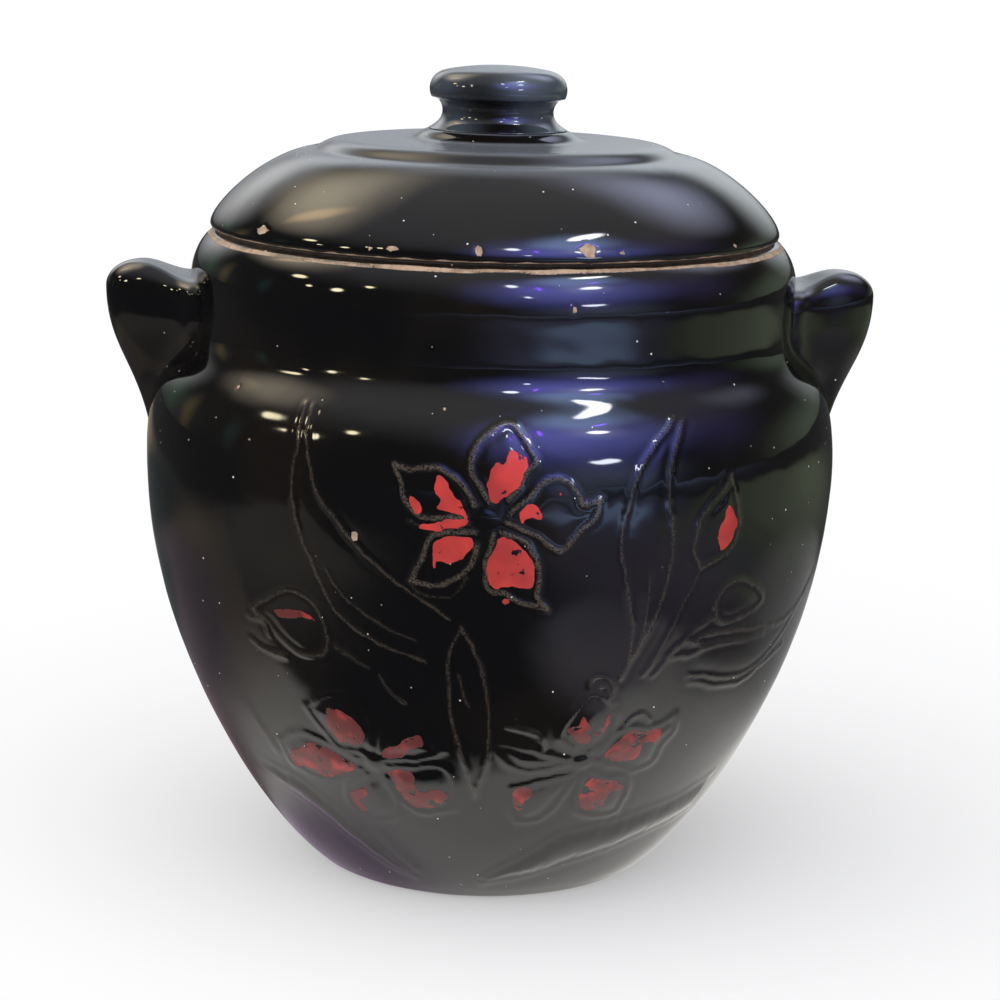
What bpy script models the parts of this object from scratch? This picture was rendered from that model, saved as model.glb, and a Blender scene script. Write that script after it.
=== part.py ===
"""Glazed stoneware bean pot: a turned pot with two luted ears, and a lift-off lid with a luted knob.

Metres, +Z up. The origin is the centre of the foot, the ears lie along X, and -Y is the decorated front.
"""

import math

import bmesh
import bpy

# Pot body, from the foot up. Each rise is counted from the place before it.
FOOT_RADIUS = 0.0440
FOOT_RING_WIDTH = 0.0074
FOOT_RECESS = 0.0015
HEEL_RISE = 0.003
HEEL_RADIUS = 0.0504
BELLY_RISE = 0.111
BELLY_RADIUS = 0.095
SHOULDER_RISE = 0.038
WAIST_RADIUS = 0.0825
COLLAR_RISE = 0.011
COLLAR_RADIUS = 0.0828
RIM_RISE = 0.0127
SEAT_RADIUS = 0.075
MOUTH_RADIUS = 0.069
MOUTH_ROUND = 0.001
LIP_DEPTH = 0.009
WALL = 0.0065
FLOOR_THICKNESS = 0.0075
FLOOR_BEND_RUN = 0.020
FLOOR_BEND_RISE = 0.012

# Lid, from its seat on the rim
SEAT_GAP = 0.0003
LID_RADIUS = 0.0776
LID_EDGE_ROUND = 0.0009
DOME_RADIUS = 0.051
DOME_RISE = 0.0204
PLATEAU_RADIUS = 0.0415
PLATEAU_RISE = 0.0031
BOSS_SPREAD = 0.0074
BOSS_FOOT_RISE = 0.0007
BOSS_RISE = 0.0022
LID_WALL = 0.0062
FLANGE_CLEARANCE = 0.0015
FLANGE_WALL = 0.005
FLANGE_DEPTH = 0.009
FLANGE_ROUND = 0.001

# Knob, from the lid's boss
LUTE_GAP = 0.0003
KNOB_FLARE_RADIUS = 0.0186
NECK_RADIUS = 0.0151
NECK_RISE = 0.0044
KNOB_RADIUS = 0.0187
KNOB_SPREAD_RISE = 0.0057
KNOB_CORNER_RISE = 0.0059
KNOB_CORNER = 0.0049
KNOB_CROWN_RISE = 0.0009

# Ears. A drop is counted down from the rim's top. The tip is proud of the belly, and the foot is inset in it.
EAR_PROUD = 0.0109
EAR_TIP_DROP = 0.0164
EAR_TOP_DROP = 0.0131
EAR_TOP_LIFT = 0.0038
EAR_TOP_SETBACK = 0.0096
EAR_LENGTH = 0.0403
EAR_FOOT_INSET = 0.001
EAR_HALF_THICKNESS = 0.0135
EAR_EDGE_HEIGHT = 0.010
EAR_ROOT_FLARE = 0.0085
EAR_FLARE_FADE = 0.0055
EAR_KEEL = 0.0026
EAR_BURY = 0.010

# Curve shapes, as shares of the stretch that each curve spans
SIDE_FULLNESS = 0.475
HEEL_LEAN = (0.292, 0.103)
HEEL_PULL = 0.95
FLOOR_BEND_PULL = 0.4
THROAT_PULL = 0.5
WAIST_PULL = 0.347
SHOULDER_PULL = 0.813
COLLAR_PULL = 0.4
RIM_PULLS = (0.43, 0.54)
ROUND_PULL = 0.55
DOME_PULLS = (0.47, 0.093, 0.225)
STEP_PULLS = (0.58, 0.08, 0.35, 0.16)
BOSS_PULLS = (0.20, 0.43, 0.47, 0.07)
KNOB_CROWN_PULLS = (0.5, 0.25, 0.5)
KNOB_SIDE_PULL = 0.5
KNOB_BASE_PULLS = (0.5, 0.43, 0.17)
EAR_SWELL = (0.296, 0.471, 0.416)
EAR_ROUND = 2.3
EAR_TAPER = 4.0
EAR_TOP_ROUND = 5.0

# Facets of a full turn, and of the outlines
TURN_STEPS = 60
KNOB_STEPS = 40
RIM_STEPS = 6
COLLAR_STEPS = 2
SHOULDER_STEPS = 9
BELLY_STEPS = 11
HEEL_STEPS = 3
LINING_STEPS = (3, 5, 2)
LID_STEPS = (3, 5, 10, 2)
VAULT_STEPS = 7
KNOB_OUTLINE_STEPS = (3, 5, 5, 4)
EAR_LEVELS = 8
EAR_CROWN_LEVELS = 6
EAR_SIDE_POINTS = 9
SAME_POINT = 0.00001

# Heights and reaches that the sizes above lead to
HEEL_Z = HEEL_RISE
BELLY_Z = HEEL_Z + BELLY_RISE
WAIST_Z = BELLY_Z + SHOULDER_RISE
COLLAR_Z = WAIST_Z + COLLAR_RISE
RIM_Z = COLLAR_Z + RIM_RISE
FLOOR_Z = FOOT_RECESS + FLOOR_THICKNESS
SEAT_Z = RIM_Z + SEAT_GAP
PLATEAU_Z = DOME_RISE + LID_EDGE_ROUND + PLATEAU_RISE
BOSS_FOOT_Z = PLATEAU_Z + BOSS_FOOT_RISE
BOSS_Z = BOSS_FOOT_Z + BOSS_RISE
KNOB_Z = BOSS_Z + LUTE_GAP
EAR_REACH = BELLY_RADIUS + EAR_PROUD
EAR_TOP_REACH = EAR_REACH - EAR_TOP_SETBACK
EAR_TIP_Z = RIM_Z - EAR_TIP_DROP
EAR_CROWN_Z = RIM_Z - EAR_TOP_DROP
EAR_FOOT_Z = EAR_TIP_Z - EAR_LENGTH

BLACK_GLAZE = (0.010, 0.010, 0.014, 1.0)
BLUE_BLACK_GLAZE = (0.010, 0.011, 0.020, 1.0)
GREEN_BLACK_GLAZE = (0.011, 0.014, 0.014, 1.0)


def curve(start, leave, arrive, end, steps):
    """Points of a cubic curve after its start. leave and arrive are its handles, each from its own end."""
    (ax, az), (dx, dz) = start, end
    bx, bz = ax + leave[0], az + leave[1]
    cx, cz = dx + arrive[0], dz + arrive[1]
    points = []
    for i in range(1, steps + 1):
        t = i / steps
        a, b, c, d = (1 - t) ** 3, 3 * t * (1 - t) ** 2, 3 * t * t * (1 - t), t**3
        points.append((a * ax + b * bx + c * cx + d * dx, a * az + b * bz + c * cz + d * dz))
    return points


def pot_outside():
    """The pot's outer line, from the flat top of its rim down to the foot."""
    rim = (SEAT_RADIUS, RIM_Z)
    collar = (COLLAR_RADIUS, COLLAR_Z)
    waist = (WAIST_RADIUS, WAIST_Z)
    belly = (BELLY_RADIUS, BELLY_Z)
    heel = (HEEL_RADIUS, HEEL_Z)
    foot = (FOOT_RADIUS, 0.0)
    lean = (HEEL_LEAN[0] * (BELLY_RADIUS - HEEL_RADIUS), HEEL_LEAN[1] * BELLY_RISE)
    round_out = RIM_PULLS[0] * (COLLAR_RADIUS - SEAT_RADIUS)
    points = [rim]
    points += curve(rim, (round_out, 0), (0, RIM_PULLS[1] * RIM_RISE), collar, RIM_STEPS)
    pull = COLLAR_PULL * COLLAR_RISE
    points += curve(collar, (0, -pull), (0, pull), waist, COLLAR_STEPS)
    pulls = (WAIST_PULL * SHOULDER_RISE, SHOULDER_PULL * SHOULDER_RISE)
    points += curve(waist, (0, -pulls[0]), (0, pulls[1]), belly, SHOULDER_STEPS)
    points += curve(belly, (0, -SIDE_FULLNESS * BELLY_RISE), lean, heel, BELLY_STEPS)
    onward = HEEL_PULL * HEEL_RISE / lean[1]
    under = (ROUND_PULL * (HEEL_RADIUS - FOOT_RADIUS), 0)
    points += curve(heel, (-onward * lean[0], -onward * lean[1]), under, foot, HEEL_STEPS)
    return points


def pot_inside():
    """The pot's inner line, from the middle of its floor up to the flat top of its rim."""
    side = [(r - WALL, z) for r, z in reversed(pot_outside()) if FLOOR_Z + FLOOR_BEND_RISE < z < WAIST_Z]
    floor_edge = (side[0][0] - FLOOR_BEND_RUN, FLOOR_Z)
    lean = (side[0][0] - side[1][0], side[0][1] - side[1][1])
    points = [(0.0, FLOOR_Z), floor_edge]
    points += curve(floor_edge, (FLOOR_BEND_PULL * FLOOR_BEND_RUN, 0), lean, side[0], LINING_STEPS[0])
    points += side[1:]
    lip = (MOUTH_RADIUS, RIM_Z - LIP_DEPTH)
    climb = THROAT_PULL * (lip[1] - side[-1][1])
    points += curve(side[-1], (0, climb), (0, -climb), lip, LINING_STEPS[1])
    edge = (MOUTH_RADIUS, RIM_Z - MOUTH_ROUND)
    points.append(edge)
    rounded = (MOUTH_RADIUS + MOUTH_ROUND, RIM_Z)
    pull = ROUND_PULL * MOUTH_ROUND
    points += curve(edge, (0, pull), (-pull, 0), rounded, LINING_STEPS[2])
    return points


def pot_foot():
    """The underside, from the foot ring's inner edge to the axis."""
    ring = FOOT_RADIUS - FOOT_RING_WIDTH
    return [(ring, 0.0), (ring - FOOT_RECESS, FOOT_RECESS), (0.0, FOOT_RECESS)]


def lid_outside():
    """The lid's upper line, from the axis over the knob's boss, the plateau and the dome to the seat."""
    dome_z = DOME_RISE + LID_EDGE_ROUND
    boss = (KNOB_FLARE_RADIUS, BOSS_Z)
    boss_foot = (KNOB_FLARE_RADIUS + BOSS_SPREAD, BOSS_FOOT_Z)
    plateau = (PLATEAU_RADIUS, PLATEAU_Z)
    dome = (DOME_RADIUS, dome_z)
    edge = (LID_RADIUS, LID_EDGE_ROUND)
    under = (LID_RADIUS - LID_EDGE_ROUND, 0.0)
    step = DOME_RADIUS - PLATEAU_RADIUS
    wide = LID_RADIUS - DOME_RADIUS
    boss_steps, step_steps, dome_steps, edge_steps = LID_STEPS
    points = [(0.0, BOSS_Z), boss]
    out, down, back, up = BOSS_PULLS
    leave = (out * BOSS_SPREAD, -down * BOSS_RISE)
    points += curve(boss, leave, (-back * BOSS_SPREAD, up * BOSS_RISE), boss_foot, boss_steps)
    points.append(plateau)
    out, down, back, up = STEP_PULLS
    leave = (out * step, -down * PLATEAU_RISE)
    points += curve(plateau, leave, (-back * step, up * PLATEAU_RISE), dome, step_steps)
    out, down, up = DOME_PULLS
    points += curve(dome, (out * wide, -down * DOME_RISE), (0, up * DOME_RISE), edge, dome_steps)
    pull = ROUND_PULL * LID_EDGE_ROUND
    points += curve(edge, (0, -pull), (pull, 0), under, edge_steps)
    return points


def lid_inside():
    """The lid's lower line, from the flange round to the axis under the plateau."""
    outer = MOUTH_RADIUS - FLANGE_CLEARANCE
    inner = outer - FLANGE_WALL
    hollow_top = PLATEAU_Z - LID_WALL
    ceiling = (PLATEAU_RADIUS - LID_WALL, hollow_top)
    spring = (inner, 0.0)
    points = [(outer, 0.0), (outer, FLANGE_ROUND - FLANGE_DEPTH)]
    points += [(outer - FLANGE_ROUND, -FLANGE_DEPTH), (inner + FLANGE_ROUND, -FLANGE_DEPTH)]
    points += [(inner, FLANGE_ROUND - FLANGE_DEPTH), spring]
    pull = (ROUND_PULL * (inner - ceiling[0]), 0)
    points += curve(spring, (0, ROUND_PULL * hollow_top), pull, ceiling, VAULT_STEPS)
    points.append((0.0, hollow_top))
    return points


def knob_outline():
    """The knob's line, from the middle of its top down to its base."""
    top_z = NECK_RISE + KNOB_SPREAD_RISE + KNOB_CORNER_RISE + KNOB_CROWN_RISE
    top = (0.0, top_z)
    crown = (KNOB_RADIUS - KNOB_CORNER, top_z - KNOB_CROWN_RISE)
    widest = (KNOB_RADIUS, NECK_RISE + KNOB_SPREAD_RISE)
    neck = (NECK_RADIUS, NECK_RISE)
    base = (KNOB_FLARE_RADIUS, 0.0)
    flat, fall, drop = KNOB_CROWN_PULLS
    slope = (fall * crown[0], -drop * KNOB_CROWN_RISE)
    crown_steps, corner_steps, side_steps, base_steps = KNOB_OUTLINE_STEPS
    points = [top] + curve(top, (flat * crown[0], 0), (-slope[0], -slope[1]), crown, crown_steps)
    points += curve(crown, slope, (0, ROUND_PULL * KNOB_CORNER_RISE), widest, corner_steps)
    pull = KNOB_SIDE_PULL * KNOB_SPREAD_RISE
    points += curve(widest, (0, -pull), (0, pull), neck, side_steps)
    down, inward, up = KNOB_BASE_PULLS
    meet = (-inward * (KNOB_FLARE_RADIUS - NECK_RADIUS), up * NECK_RISE)
    points += curve(neck, (0, -down * NECK_RISE), meet, base, base_steps)
    points.append((0.0, 0.0))
    return points


def ear_half_width(out, reach, share, body_radius):
    """Half the ear's width at a distance out from the axis, for one level of the ear."""
    along = max(0.0, (out - (body_radius - EAR_BURY)) / (reach - (body_radius - EAR_BURY)))
    tongue = EAR_HALF_THICKNESS * max(0.0, 1 - along**EAR_ROUND) ** (1 / EAR_ROUND)
    flare = EAR_ROOT_FLARE * math.exp(-max(0.0, out - body_radius) / EAR_FLARE_FADE) * (1 - along)
    return share * (tongue + flare)


def radius_at(outline, z):
    """The radius of a line of (radius, z) points at a height."""
    for (r0, z0), (r1, z1) in zip(outline, outline[1:]):
        if min(z0, z1) <= z <= max(z0, z1) and z0 != z1:
            return r0 + (r1 - r0) * (z - z0) / (z1 - z0)
    return outline[0][0]


def ear_share(z):
    """The ear's thickness at a height, as a share of the full one: a keel, a wedge, then a rounded top."""
    full_z = EAR_CROWN_Z - EAR_EDGE_HEIGHT
    if z > full_z:
        up = min(1.0, (z - full_z) / EAR_EDGE_HEIGHT)
        return (1 - up**EAR_TOP_ROUND) ** (1 / EAR_TOP_ROUND)
    keel = EAR_KEEL / EAR_HALF_THICKNESS
    up = (z - EAR_FOOT_Z) / (full_z - EAR_FOOT_Z)
    return keel + (1 - keel) * math.sin(up * math.pi / 2) ** EAR_TAPER


def ear_levels():
    """(height, reach, share of the full thickness) from the ear's foot up to its crown."""
    foot = (BELLY_RADIUS - EAR_FOOT_INSET, EAR_FOOT_Z)
    leave = (EAR_SWELL[0] * (EAR_REACH - foot[0]), EAR_SWELL[1] * EAR_LENGTH)
    edge = [foot] + curve(foot, leave, (0, -EAR_SWELL[2] * EAR_LENGTH), (EAR_REACH, EAR_TIP_Z), EAR_LEVELS)
    for i in range(1, EAR_CROWN_LEVELS + 1):
        a = i / EAR_CROWN_LEVELS * math.pi / 2
        reach = EAR_TOP_REACH + EAR_TOP_SETBACK * math.cos(a)
        edge.append((reach, EAR_TIP_Z + (EAR_CROWN_Z - EAR_TIP_Z) * math.sin(a)))
    return [(z, reach, ear_share(z)) for reach, z in edge]


def ear_lift(out, z):
    """How far the top of the ear rises from its root to its tip."""
    up = min(1.0, max(0.0, (z - EAR_TIP_Z) / (EAR_CROWN_Z - EAR_TIP_Z)))
    along = min(1.0, max(0.0, (out - WAIST_RADIUS) / (EAR_TOP_REACH - WAIST_RADIUS)))
    return EAR_TOP_LIFT * up * along * along * (3 - 2 * along)


def ear_mesh():
    """A lug lofted through level outlines, whose root is buried in the pot's wall until that is cut away."""
    outline = pot_outside()
    bm = bmesh.new()
    rings = []
    for z, reach, share in ear_levels():
        body_radius = radius_at(outline, z)
        root = body_radius - EAR_BURY
        one_side = []
        for i in range(EAR_SIDE_POINTS + 1):
            out = root + (reach - root) * math.sin(i / EAR_SIDE_POINTS * math.pi / 2)
            one_side.append((out, ear_half_width(out, reach, share, body_radius)))
        around = one_side + [(out, -wide) for out, wide in reversed(one_side[:-1])]
        rings.append([bm.verts.new((out, wide, z + ear_lift(out, z))) for out, wide in around])
    for low, high in zip(rings, rings[1:]):
        for i in range(len(low)):
            j = (i + 1) % len(low)
            bm.faces.new((low[i], low[j], high[j], high[i]))
    bm.faces.new(rings[0])
    bmesh.ops.remove_doubles(bm, verts=bm.verts, dist=SAME_POINT)
    bmesh.ops.recalc_face_normals(bm, faces=bm.faces)
    mesh = bpy.data.meshes.new("ear")
    bm.to_mesh(mesh)
    bm.free()
    return mesh


def new_collection(name):
    """An empty collection in the scene."""
    made = bpy.data.collections.new(name)
    bpy.context.scene.collection.children.link(made)
    return made


def glaze(name, colour, roughness):
    """A glossy Principled material."""
    made = bpy.data.materials.new(name)
    made.use_nodes = True
    shader = made.node_tree.nodes["Principled BSDF"]
    shader.inputs["Base Color"].default_value = colour
    shader.inputs["Roughness"].default_value = roughness
    shader.inputs["Metallic"].default_value = 0.0
    made.diffuse_color = colour
    return made


def turned(name, outline, steps, collection, material=None):
    """A closed turned solid: the outline, swept a full turn about Z."""
    mesh = bpy.data.meshes.new(name)
    edges = [(i, i + 1) for i in range(len(outline) - 1)]
    mesh.from_pydata([(r, 0.0, z) for r, z in outline], edges, [])
    made = bpy.data.objects.new(name, mesh)
    collection.objects.link(made)
    screw = made.modifiers.new("turn", "SCREW")
    screw.axis = "Z"
    screw.angle = 2 * math.pi
    screw.steps = steps
    screw.render_steps = steps
    screw.use_merge_vertices = True
    screw.merge_threshold = SAME_POINT
    screw.use_smooth_shade = True
    if material:
        mesh.materials.append(material)
    return made


def hide(cutter):
    """Marks a cutter, which only shapes other pieces."""
    cutter.hide_render = True
    cutter.display_type = "WIRE"


def build_pot(parts):
    """The hollow pot, from its floor to its rim."""
    outline = pot_inside() + pot_outside() + pot_foot()
    return turned("pot_body", outline, TURN_STEPS, parts, glaze("pot_glaze", BLACK_GLAZE, 0.08))


def build_ears(parts, helpers, pot):
    """The two ears, each cut to the pot's outer surface with room for the slip that holds it."""
    grown = [(r + LUTE_GAP, z) for r, z in pot_outside()]
    outline = [(0.0, RIM_Z)] + grown + [(0.0, 0.0)]
    cutter = turned("ear_cutter", outline, TURN_STEPS, helpers)
    hide(cutter)
    mesh = ear_mesh()
    mesh.materials.append(glaze("ear_glaze", BLUE_BLACK_GLAZE, 0.10))
    mesh.shade_smooth()
    for name, turn in (("handle_right", 0.0), ("handle_left", math.pi)):
        ear = bpy.data.objects.new(name, mesh)
        parts.objects.link(ear)
        ear.rotation_euler = (0.0, 0.0, turn)
        ear.parent = pot
        cut = ear.modifiers.new("seat on the pot", "BOOLEAN")
        cut.operation = "DIFFERENCE"
        cut.object = cutter


def build_lid(parts):
    """The domed lid, resting on the rim, with a flange that drops inside the mouth."""
    outline = lid_outside() + lid_inside()
    lid = turned("lid", outline, TURN_STEPS, parts, glaze("lid_glaze", BLACK_GLAZE, 0.06))
    lid.location = (0.0, 0.0, SEAT_Z)
    knob = turned("knob", knob_outline(), KNOB_STEPS, parts, glaze("knob_glaze", GREEN_BLACK_GLAZE, 0.06))
    knob.parent = lid
    knob.location = (0.0, 0.0, KNOB_Z)


def main():
    for old in list(bpy.data.objects):
        bpy.data.objects.remove(old)
    parts = new_collection("bean_pot")
    helpers = new_collection("cutters")
    pot = build_pot(parts)
    build_ears(parts, helpers, pot)
    build_lid(parts)


main()
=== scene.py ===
"""Looks of the glazed stoneware bean pot: its pot, ears, lid and knob, on a pale studio floor.

Metres, in the frame's axes: the ears lie along X, and -Y is the decorated front. The ornament is laid out
in millimetres on the unrolled belly, as (across, up) from the middle of the front and the foot.
"""

import math

import bmesh
import bpy
import numpy as np
from mathutils import Matrix, Vector


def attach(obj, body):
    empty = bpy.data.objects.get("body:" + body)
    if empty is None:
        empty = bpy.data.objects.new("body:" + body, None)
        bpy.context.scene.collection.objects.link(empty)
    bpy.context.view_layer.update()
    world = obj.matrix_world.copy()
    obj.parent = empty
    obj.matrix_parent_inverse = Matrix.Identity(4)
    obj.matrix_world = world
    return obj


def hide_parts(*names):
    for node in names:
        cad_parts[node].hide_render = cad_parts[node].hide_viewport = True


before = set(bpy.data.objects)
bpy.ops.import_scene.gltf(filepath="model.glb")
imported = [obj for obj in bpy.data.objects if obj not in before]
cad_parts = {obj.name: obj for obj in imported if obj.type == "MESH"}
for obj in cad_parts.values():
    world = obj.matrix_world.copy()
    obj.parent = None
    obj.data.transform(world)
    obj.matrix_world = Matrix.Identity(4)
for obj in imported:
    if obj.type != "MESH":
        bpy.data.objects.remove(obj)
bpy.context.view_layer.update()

MM = 0.001

# Pot, from the foot up
FOOT_RADIUS = 0.0440
FOOT_RING_WIDTH = 0.0074
FOOT_RECESS = 0.0015
HEEL_Z = 0.003
HEEL_RADIUS = 0.0504
BELLY_Z = 0.114
BELLY_RADIUS = 0.095
WAIST_Z = 0.152
WAIST_RADIUS = 0.0825
COLLAR_Z = 0.163
COLLAR_RADIUS = 0.0828
RIM_Z = 0.1757
SEAT_RADIUS = 0.075
MOUTH_RADIUS = 0.069
MOUTH_ROUND = 0.001
LIP_Z = 0.1667
WALL = 0.0065
FLOOR_Z = 0.009
FLOOR_BEND_RUN = 0.020
FLOOR_BEND_RISE = 0.012
UNDER_FLAT_RADIUS = 0.015

# Lid, from its seat
SEAT_Z = 0.176
LID_RADIUS = 0.0776
LID_EDGE_ROUND = 0.0009
DOME_RADIUS = 0.051
DOME_Z = 0.0213
PLATEAU_RADIUS = 0.0415
PLATEAU_Z = 0.0244
BOSS_SPREAD = 0.0074
BOSS_FOOT_Z = 0.0247
BOSS_Z = 0.0273
LID_WALL = 0.0062
FLANGE_RADIUS = 0.0675
FLANGE_WALL = 0.005
FLANGE_DEPTH = 0.009
FLANGE_ROUND = 0.001

# Knob, from the boss on the plateau
LUTE_GAP = 0.0003
KNOB_BASE_Z = SEAT_Z + BOSS_Z + LUTE_GAP
KNOB_FLARE_RADIUS = 0.0186
NECK_RADIUS = 0.0151
NECK_Z = 0.0044
KNOB_RADIUS = 0.0187
KNOB_WIDEST_Z = 0.0103
KNOB_LIP_Z = 0.0083
KNOB_LIP_RADIUS = 0.0183
KNOB_CROWN_Z = 0.0157
KNOB_CORNER = 0.0052
KNOB_CROWN_RISE = 0.0012
KNOB_LIP_LEAN = (0.0001, 0.0006)
KNOB_UNDER_DROP = 0.0004

# Ears
EAR_REACH = 0.1059
EAR_TIP_Z = 0.1593
EAR_CROWN_Z = 0.1626
EAR_TOP_LIFT = 0.0038
EAR_TOP_REACH = 0.0963
EAR_FOOT_Z = 0.119
EAR_FOOT_REACH = 0.094
EAR_HALF_THICKNESS = 0.0135
EAR_EDGE_HEIGHT = 0.010
EAR_ROOT_FLARE = 0.0085
EAR_FLARE_FADE = 0.0055
EAR_KEEL = 0.0026
EAR_BURY = 0.004
EAR_TONGUE_DEPTH = 0.006
EAR_ROUND = 2.3
EAR_TAPER = 4.0
EAR_TOP_ROUND = 5.0
EAR_SWELL = (0.296, 0.471, 0.416)

# Handles of the curves, as shares of the runs and rises that they cross
RIM_PULLS = (0.43, 0.54)
COLLAR_PULL = 0.4
WAIST_PULL = 0.347
SHOULDER_PULL = 0.813
SIDE_FULLNESS = 0.475
HEEL_LEAN = (0.292, 0.103)
HEEL_PULL = 0.95
FLOOR_BEND_PULL = 0.4
FLOOR_BEND_LEAN = 8
THROAT_PULL = 0.5
ROUND_PULL = 0.55
BOSS_PULLS = (0.35, 0.08, 0.60, 0.04)
STEP_PULLS = (0.58, 0.08, 0.35, 0.16)
DOME_PULLS = (0.47, 0.093, 0.225)
KNOB_CROWN_PULLS = (0.5, 0.25, 0.5)
KNOB_SIDE_PULL = 0.5
KNOB_UNDER_PULL = 0.7
KNOB_BASE_PULLS = (0.5, 0.43, 0.17)

# Fineness of the skins
CURVE_POINTS = 60
LONG_CURVE_POINTS = 120
BELLY_POINTS = 240
SHORT_CURVE_POINTS = 12
MOUTH_POINTS = 3
LINING_STEP = 6.0 * MM
TOP_STEP = 1.1 * MM
HEEL_STEP = 0.8 * MM
LID_STEP = 0.75 * MM
KNOB_STEP = 0.6 * MM
SEAM = 0.0002
BACK_STEP = math.radians(4.0)
LID_COLUMNS = 560
KNOB_COLUMNS = 220
EAR_LEVELS = (44, 26)
EAR_POINTS = 40
SAME_POINT = 0.00001

# Relief of the ornament, in millimetres
RIDGE_HEIGHT = 0.50
RIDGE_WIDTH = 0.60
CREST_WIDTH = 0.80
PAD_HEIGHT = 0.50
PAD_RAMP = 2.8
GROOVE_DEPTH = 0.05
GROOVE_WIDTH = 0.8
GROOVE_OFFSET = 1.5
NEAR = 7.0
BOSS_HEIGHT = 0.9

# Line styles, as shares of that relief: height, width and roughness, with the pad's height before a shape's
CRISP_SHAPE = (0.6, 0.75, 0.95, 1.0)
FLOODED_SHAPE = (1.3, 0.65, 1.6, 0.3)
BUD_SHAPE = (0.9, 0.7, 1.1, 0.7)
LEAF_SHAPE = (0.6, 0.65, 1.1, 0.7)
BLADE_SHAPE = (2.2, 0.35, 1.8, 0.0)
THREAD_LINE = (0.7, 1.1, 0.6)
FOLD_LINE = (0.5, 3.0, 0.0)

# Unevenness, as layers of (depth, size of its swells, seed), in millimetres
DRIFT_ACROSS = [(0.35, 3.1, 11), (0.14, 0.9, 12)]
DRIFT_UP = [(0.35, 2.7, 13), (0.14, 0.9, 14)]
RIDGE_DRIFT = [(0.20, 1.3, 21)]
POT_SWELL = [(0.10, 17.0, 31)]
POT_SWELL_LEAN = 0.7
POT_RIPPLE = [(0.030, 6.0, 32)]
CLAY_LINE_DRIFT = [(0.55, 45.0, 33), (0.12, 6.0, 34)]
CLAY_WIDTH_DRIFT = [(0.14, 9.0, 36)]
FOOT_EDGE_DRIFT = [(0.05, 3.0, 35)]
LID_SWELL = [(0.09, 19.0, 41), (0.02, 6.0, 42)]
LID_SEAT_DRIFT = [(0.25, 3.0, 43)]
KNOB_SWELL = [(0.07, 9.0, 51)]
EAR_UNEVENNESS = [(0.16, 8.0, 61)]
CHIP_RAGGEDNESS = (0.30, 0.8)
CHIP_SPREAD = 1.25
LATTICE = 128
LATTICE_SHIFT = 1000

# Grid of the dressed pot: the ornament's zone and the finer spacing there
FRONT_LEFT = -52.0
FRONT_RIGHT = 74.0
FINE = 0.76 * MM
ZONE_TOP = 0.143
ZONE_FOOT = 0.004

# Flowers, buds and leaves. A shape is a list of strokes that meet at its corners, and its pad fills it.
MAIN_FLOWER = [
    [[
        (-6.5, 120), (-9, 124), (-11, 128.5), (-9, 134.5),
        (-1.5, 138.5), (4.5, 131), (3, 127.5), (-1.5, 120.5),
    ]],
    [
        [(-10, 119), (-11.5, 121.5), (-14, 125), (-18, 127.5), (-22, 128), (-26, 127), (-30.5, 128.5)],
        [(-30.5, 128.5), (-28.5, 124), (-26, 118.5), (-21, 115.5), (-12, 116.5)],
    ],
    [
        [(-9.5, 112.5), (-17, 112), (-20.5, 111), (-23, 105), (-25.5, 99.5)],
        [(-25.5, 99.5), (-18.5, 98.5), (-12, 102.5), (-10, 106), (-9.5, 109)],
    ],
    [
        [(-5, 112), (-7, 104.5), (-6, 98), (-2, 97), (1.5, 95), (8.5, 93)],
        [(8.5, 93), (6, 96.5), (6, 103.5), (3, 110), (-3, 112.5)],
    ],
    [
        [(-1.5, 117), (2.5, 120.5), (7, 125.3), (12, 125.5), (15, 123), (17, 119.5), (21.5, 120.5)],
        [
            (21.5, 120.5), (20, 116), (16.5, 113), (14, 110),
            (12, 107.8), (9.5, 108.5), (6, 111.5), (-2, 115),
        ],
    ],
]
LEFT_FLOWER = [
    [
        [(-44, 49), (-52, 50), (-57.5, 56), (-60.5, 60.5)],
        [(-60.5, 60.5), (-52, 65), (-44.5, 65.5), (-39, 59), (-41, 52)],
    ],
    [
        [(-38, 50), (-34.5, 59.5), (-28, 61.5), (-24, 62.5), (-22, 55), (-18, 52.5)],
        [(-18, 52.5), (-24.5, 49.5), (-37, 48)],
    ],
    [
        [(-36, 46), (-28, 46.5), (-22.5, 47.5), (-18, 47), (-15, 42), (-15.5, 34)],
        [(-15.5, 34), (-25.5, 32), (-31, 33.5), (-34.5, 36), (-37, 42)],
    ],
    [
        [(-44, 42), (-52, 38), (-54, 32), (-49.5, 28), (-45.5, 27)],
        [(-45.5, 27), (-39, 28.5), (-36, 31.5), (-35.5, 36), (-38, 41)],
    ],
    [
        [(-46, 47), (-55, 50), (-65, 52), (-76, 47)],
        [(-76, 47), (-75, 41), (-70, 39.5), (-62, 38), (-55, 39), (-46, 43.5)],
    ],
]
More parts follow.
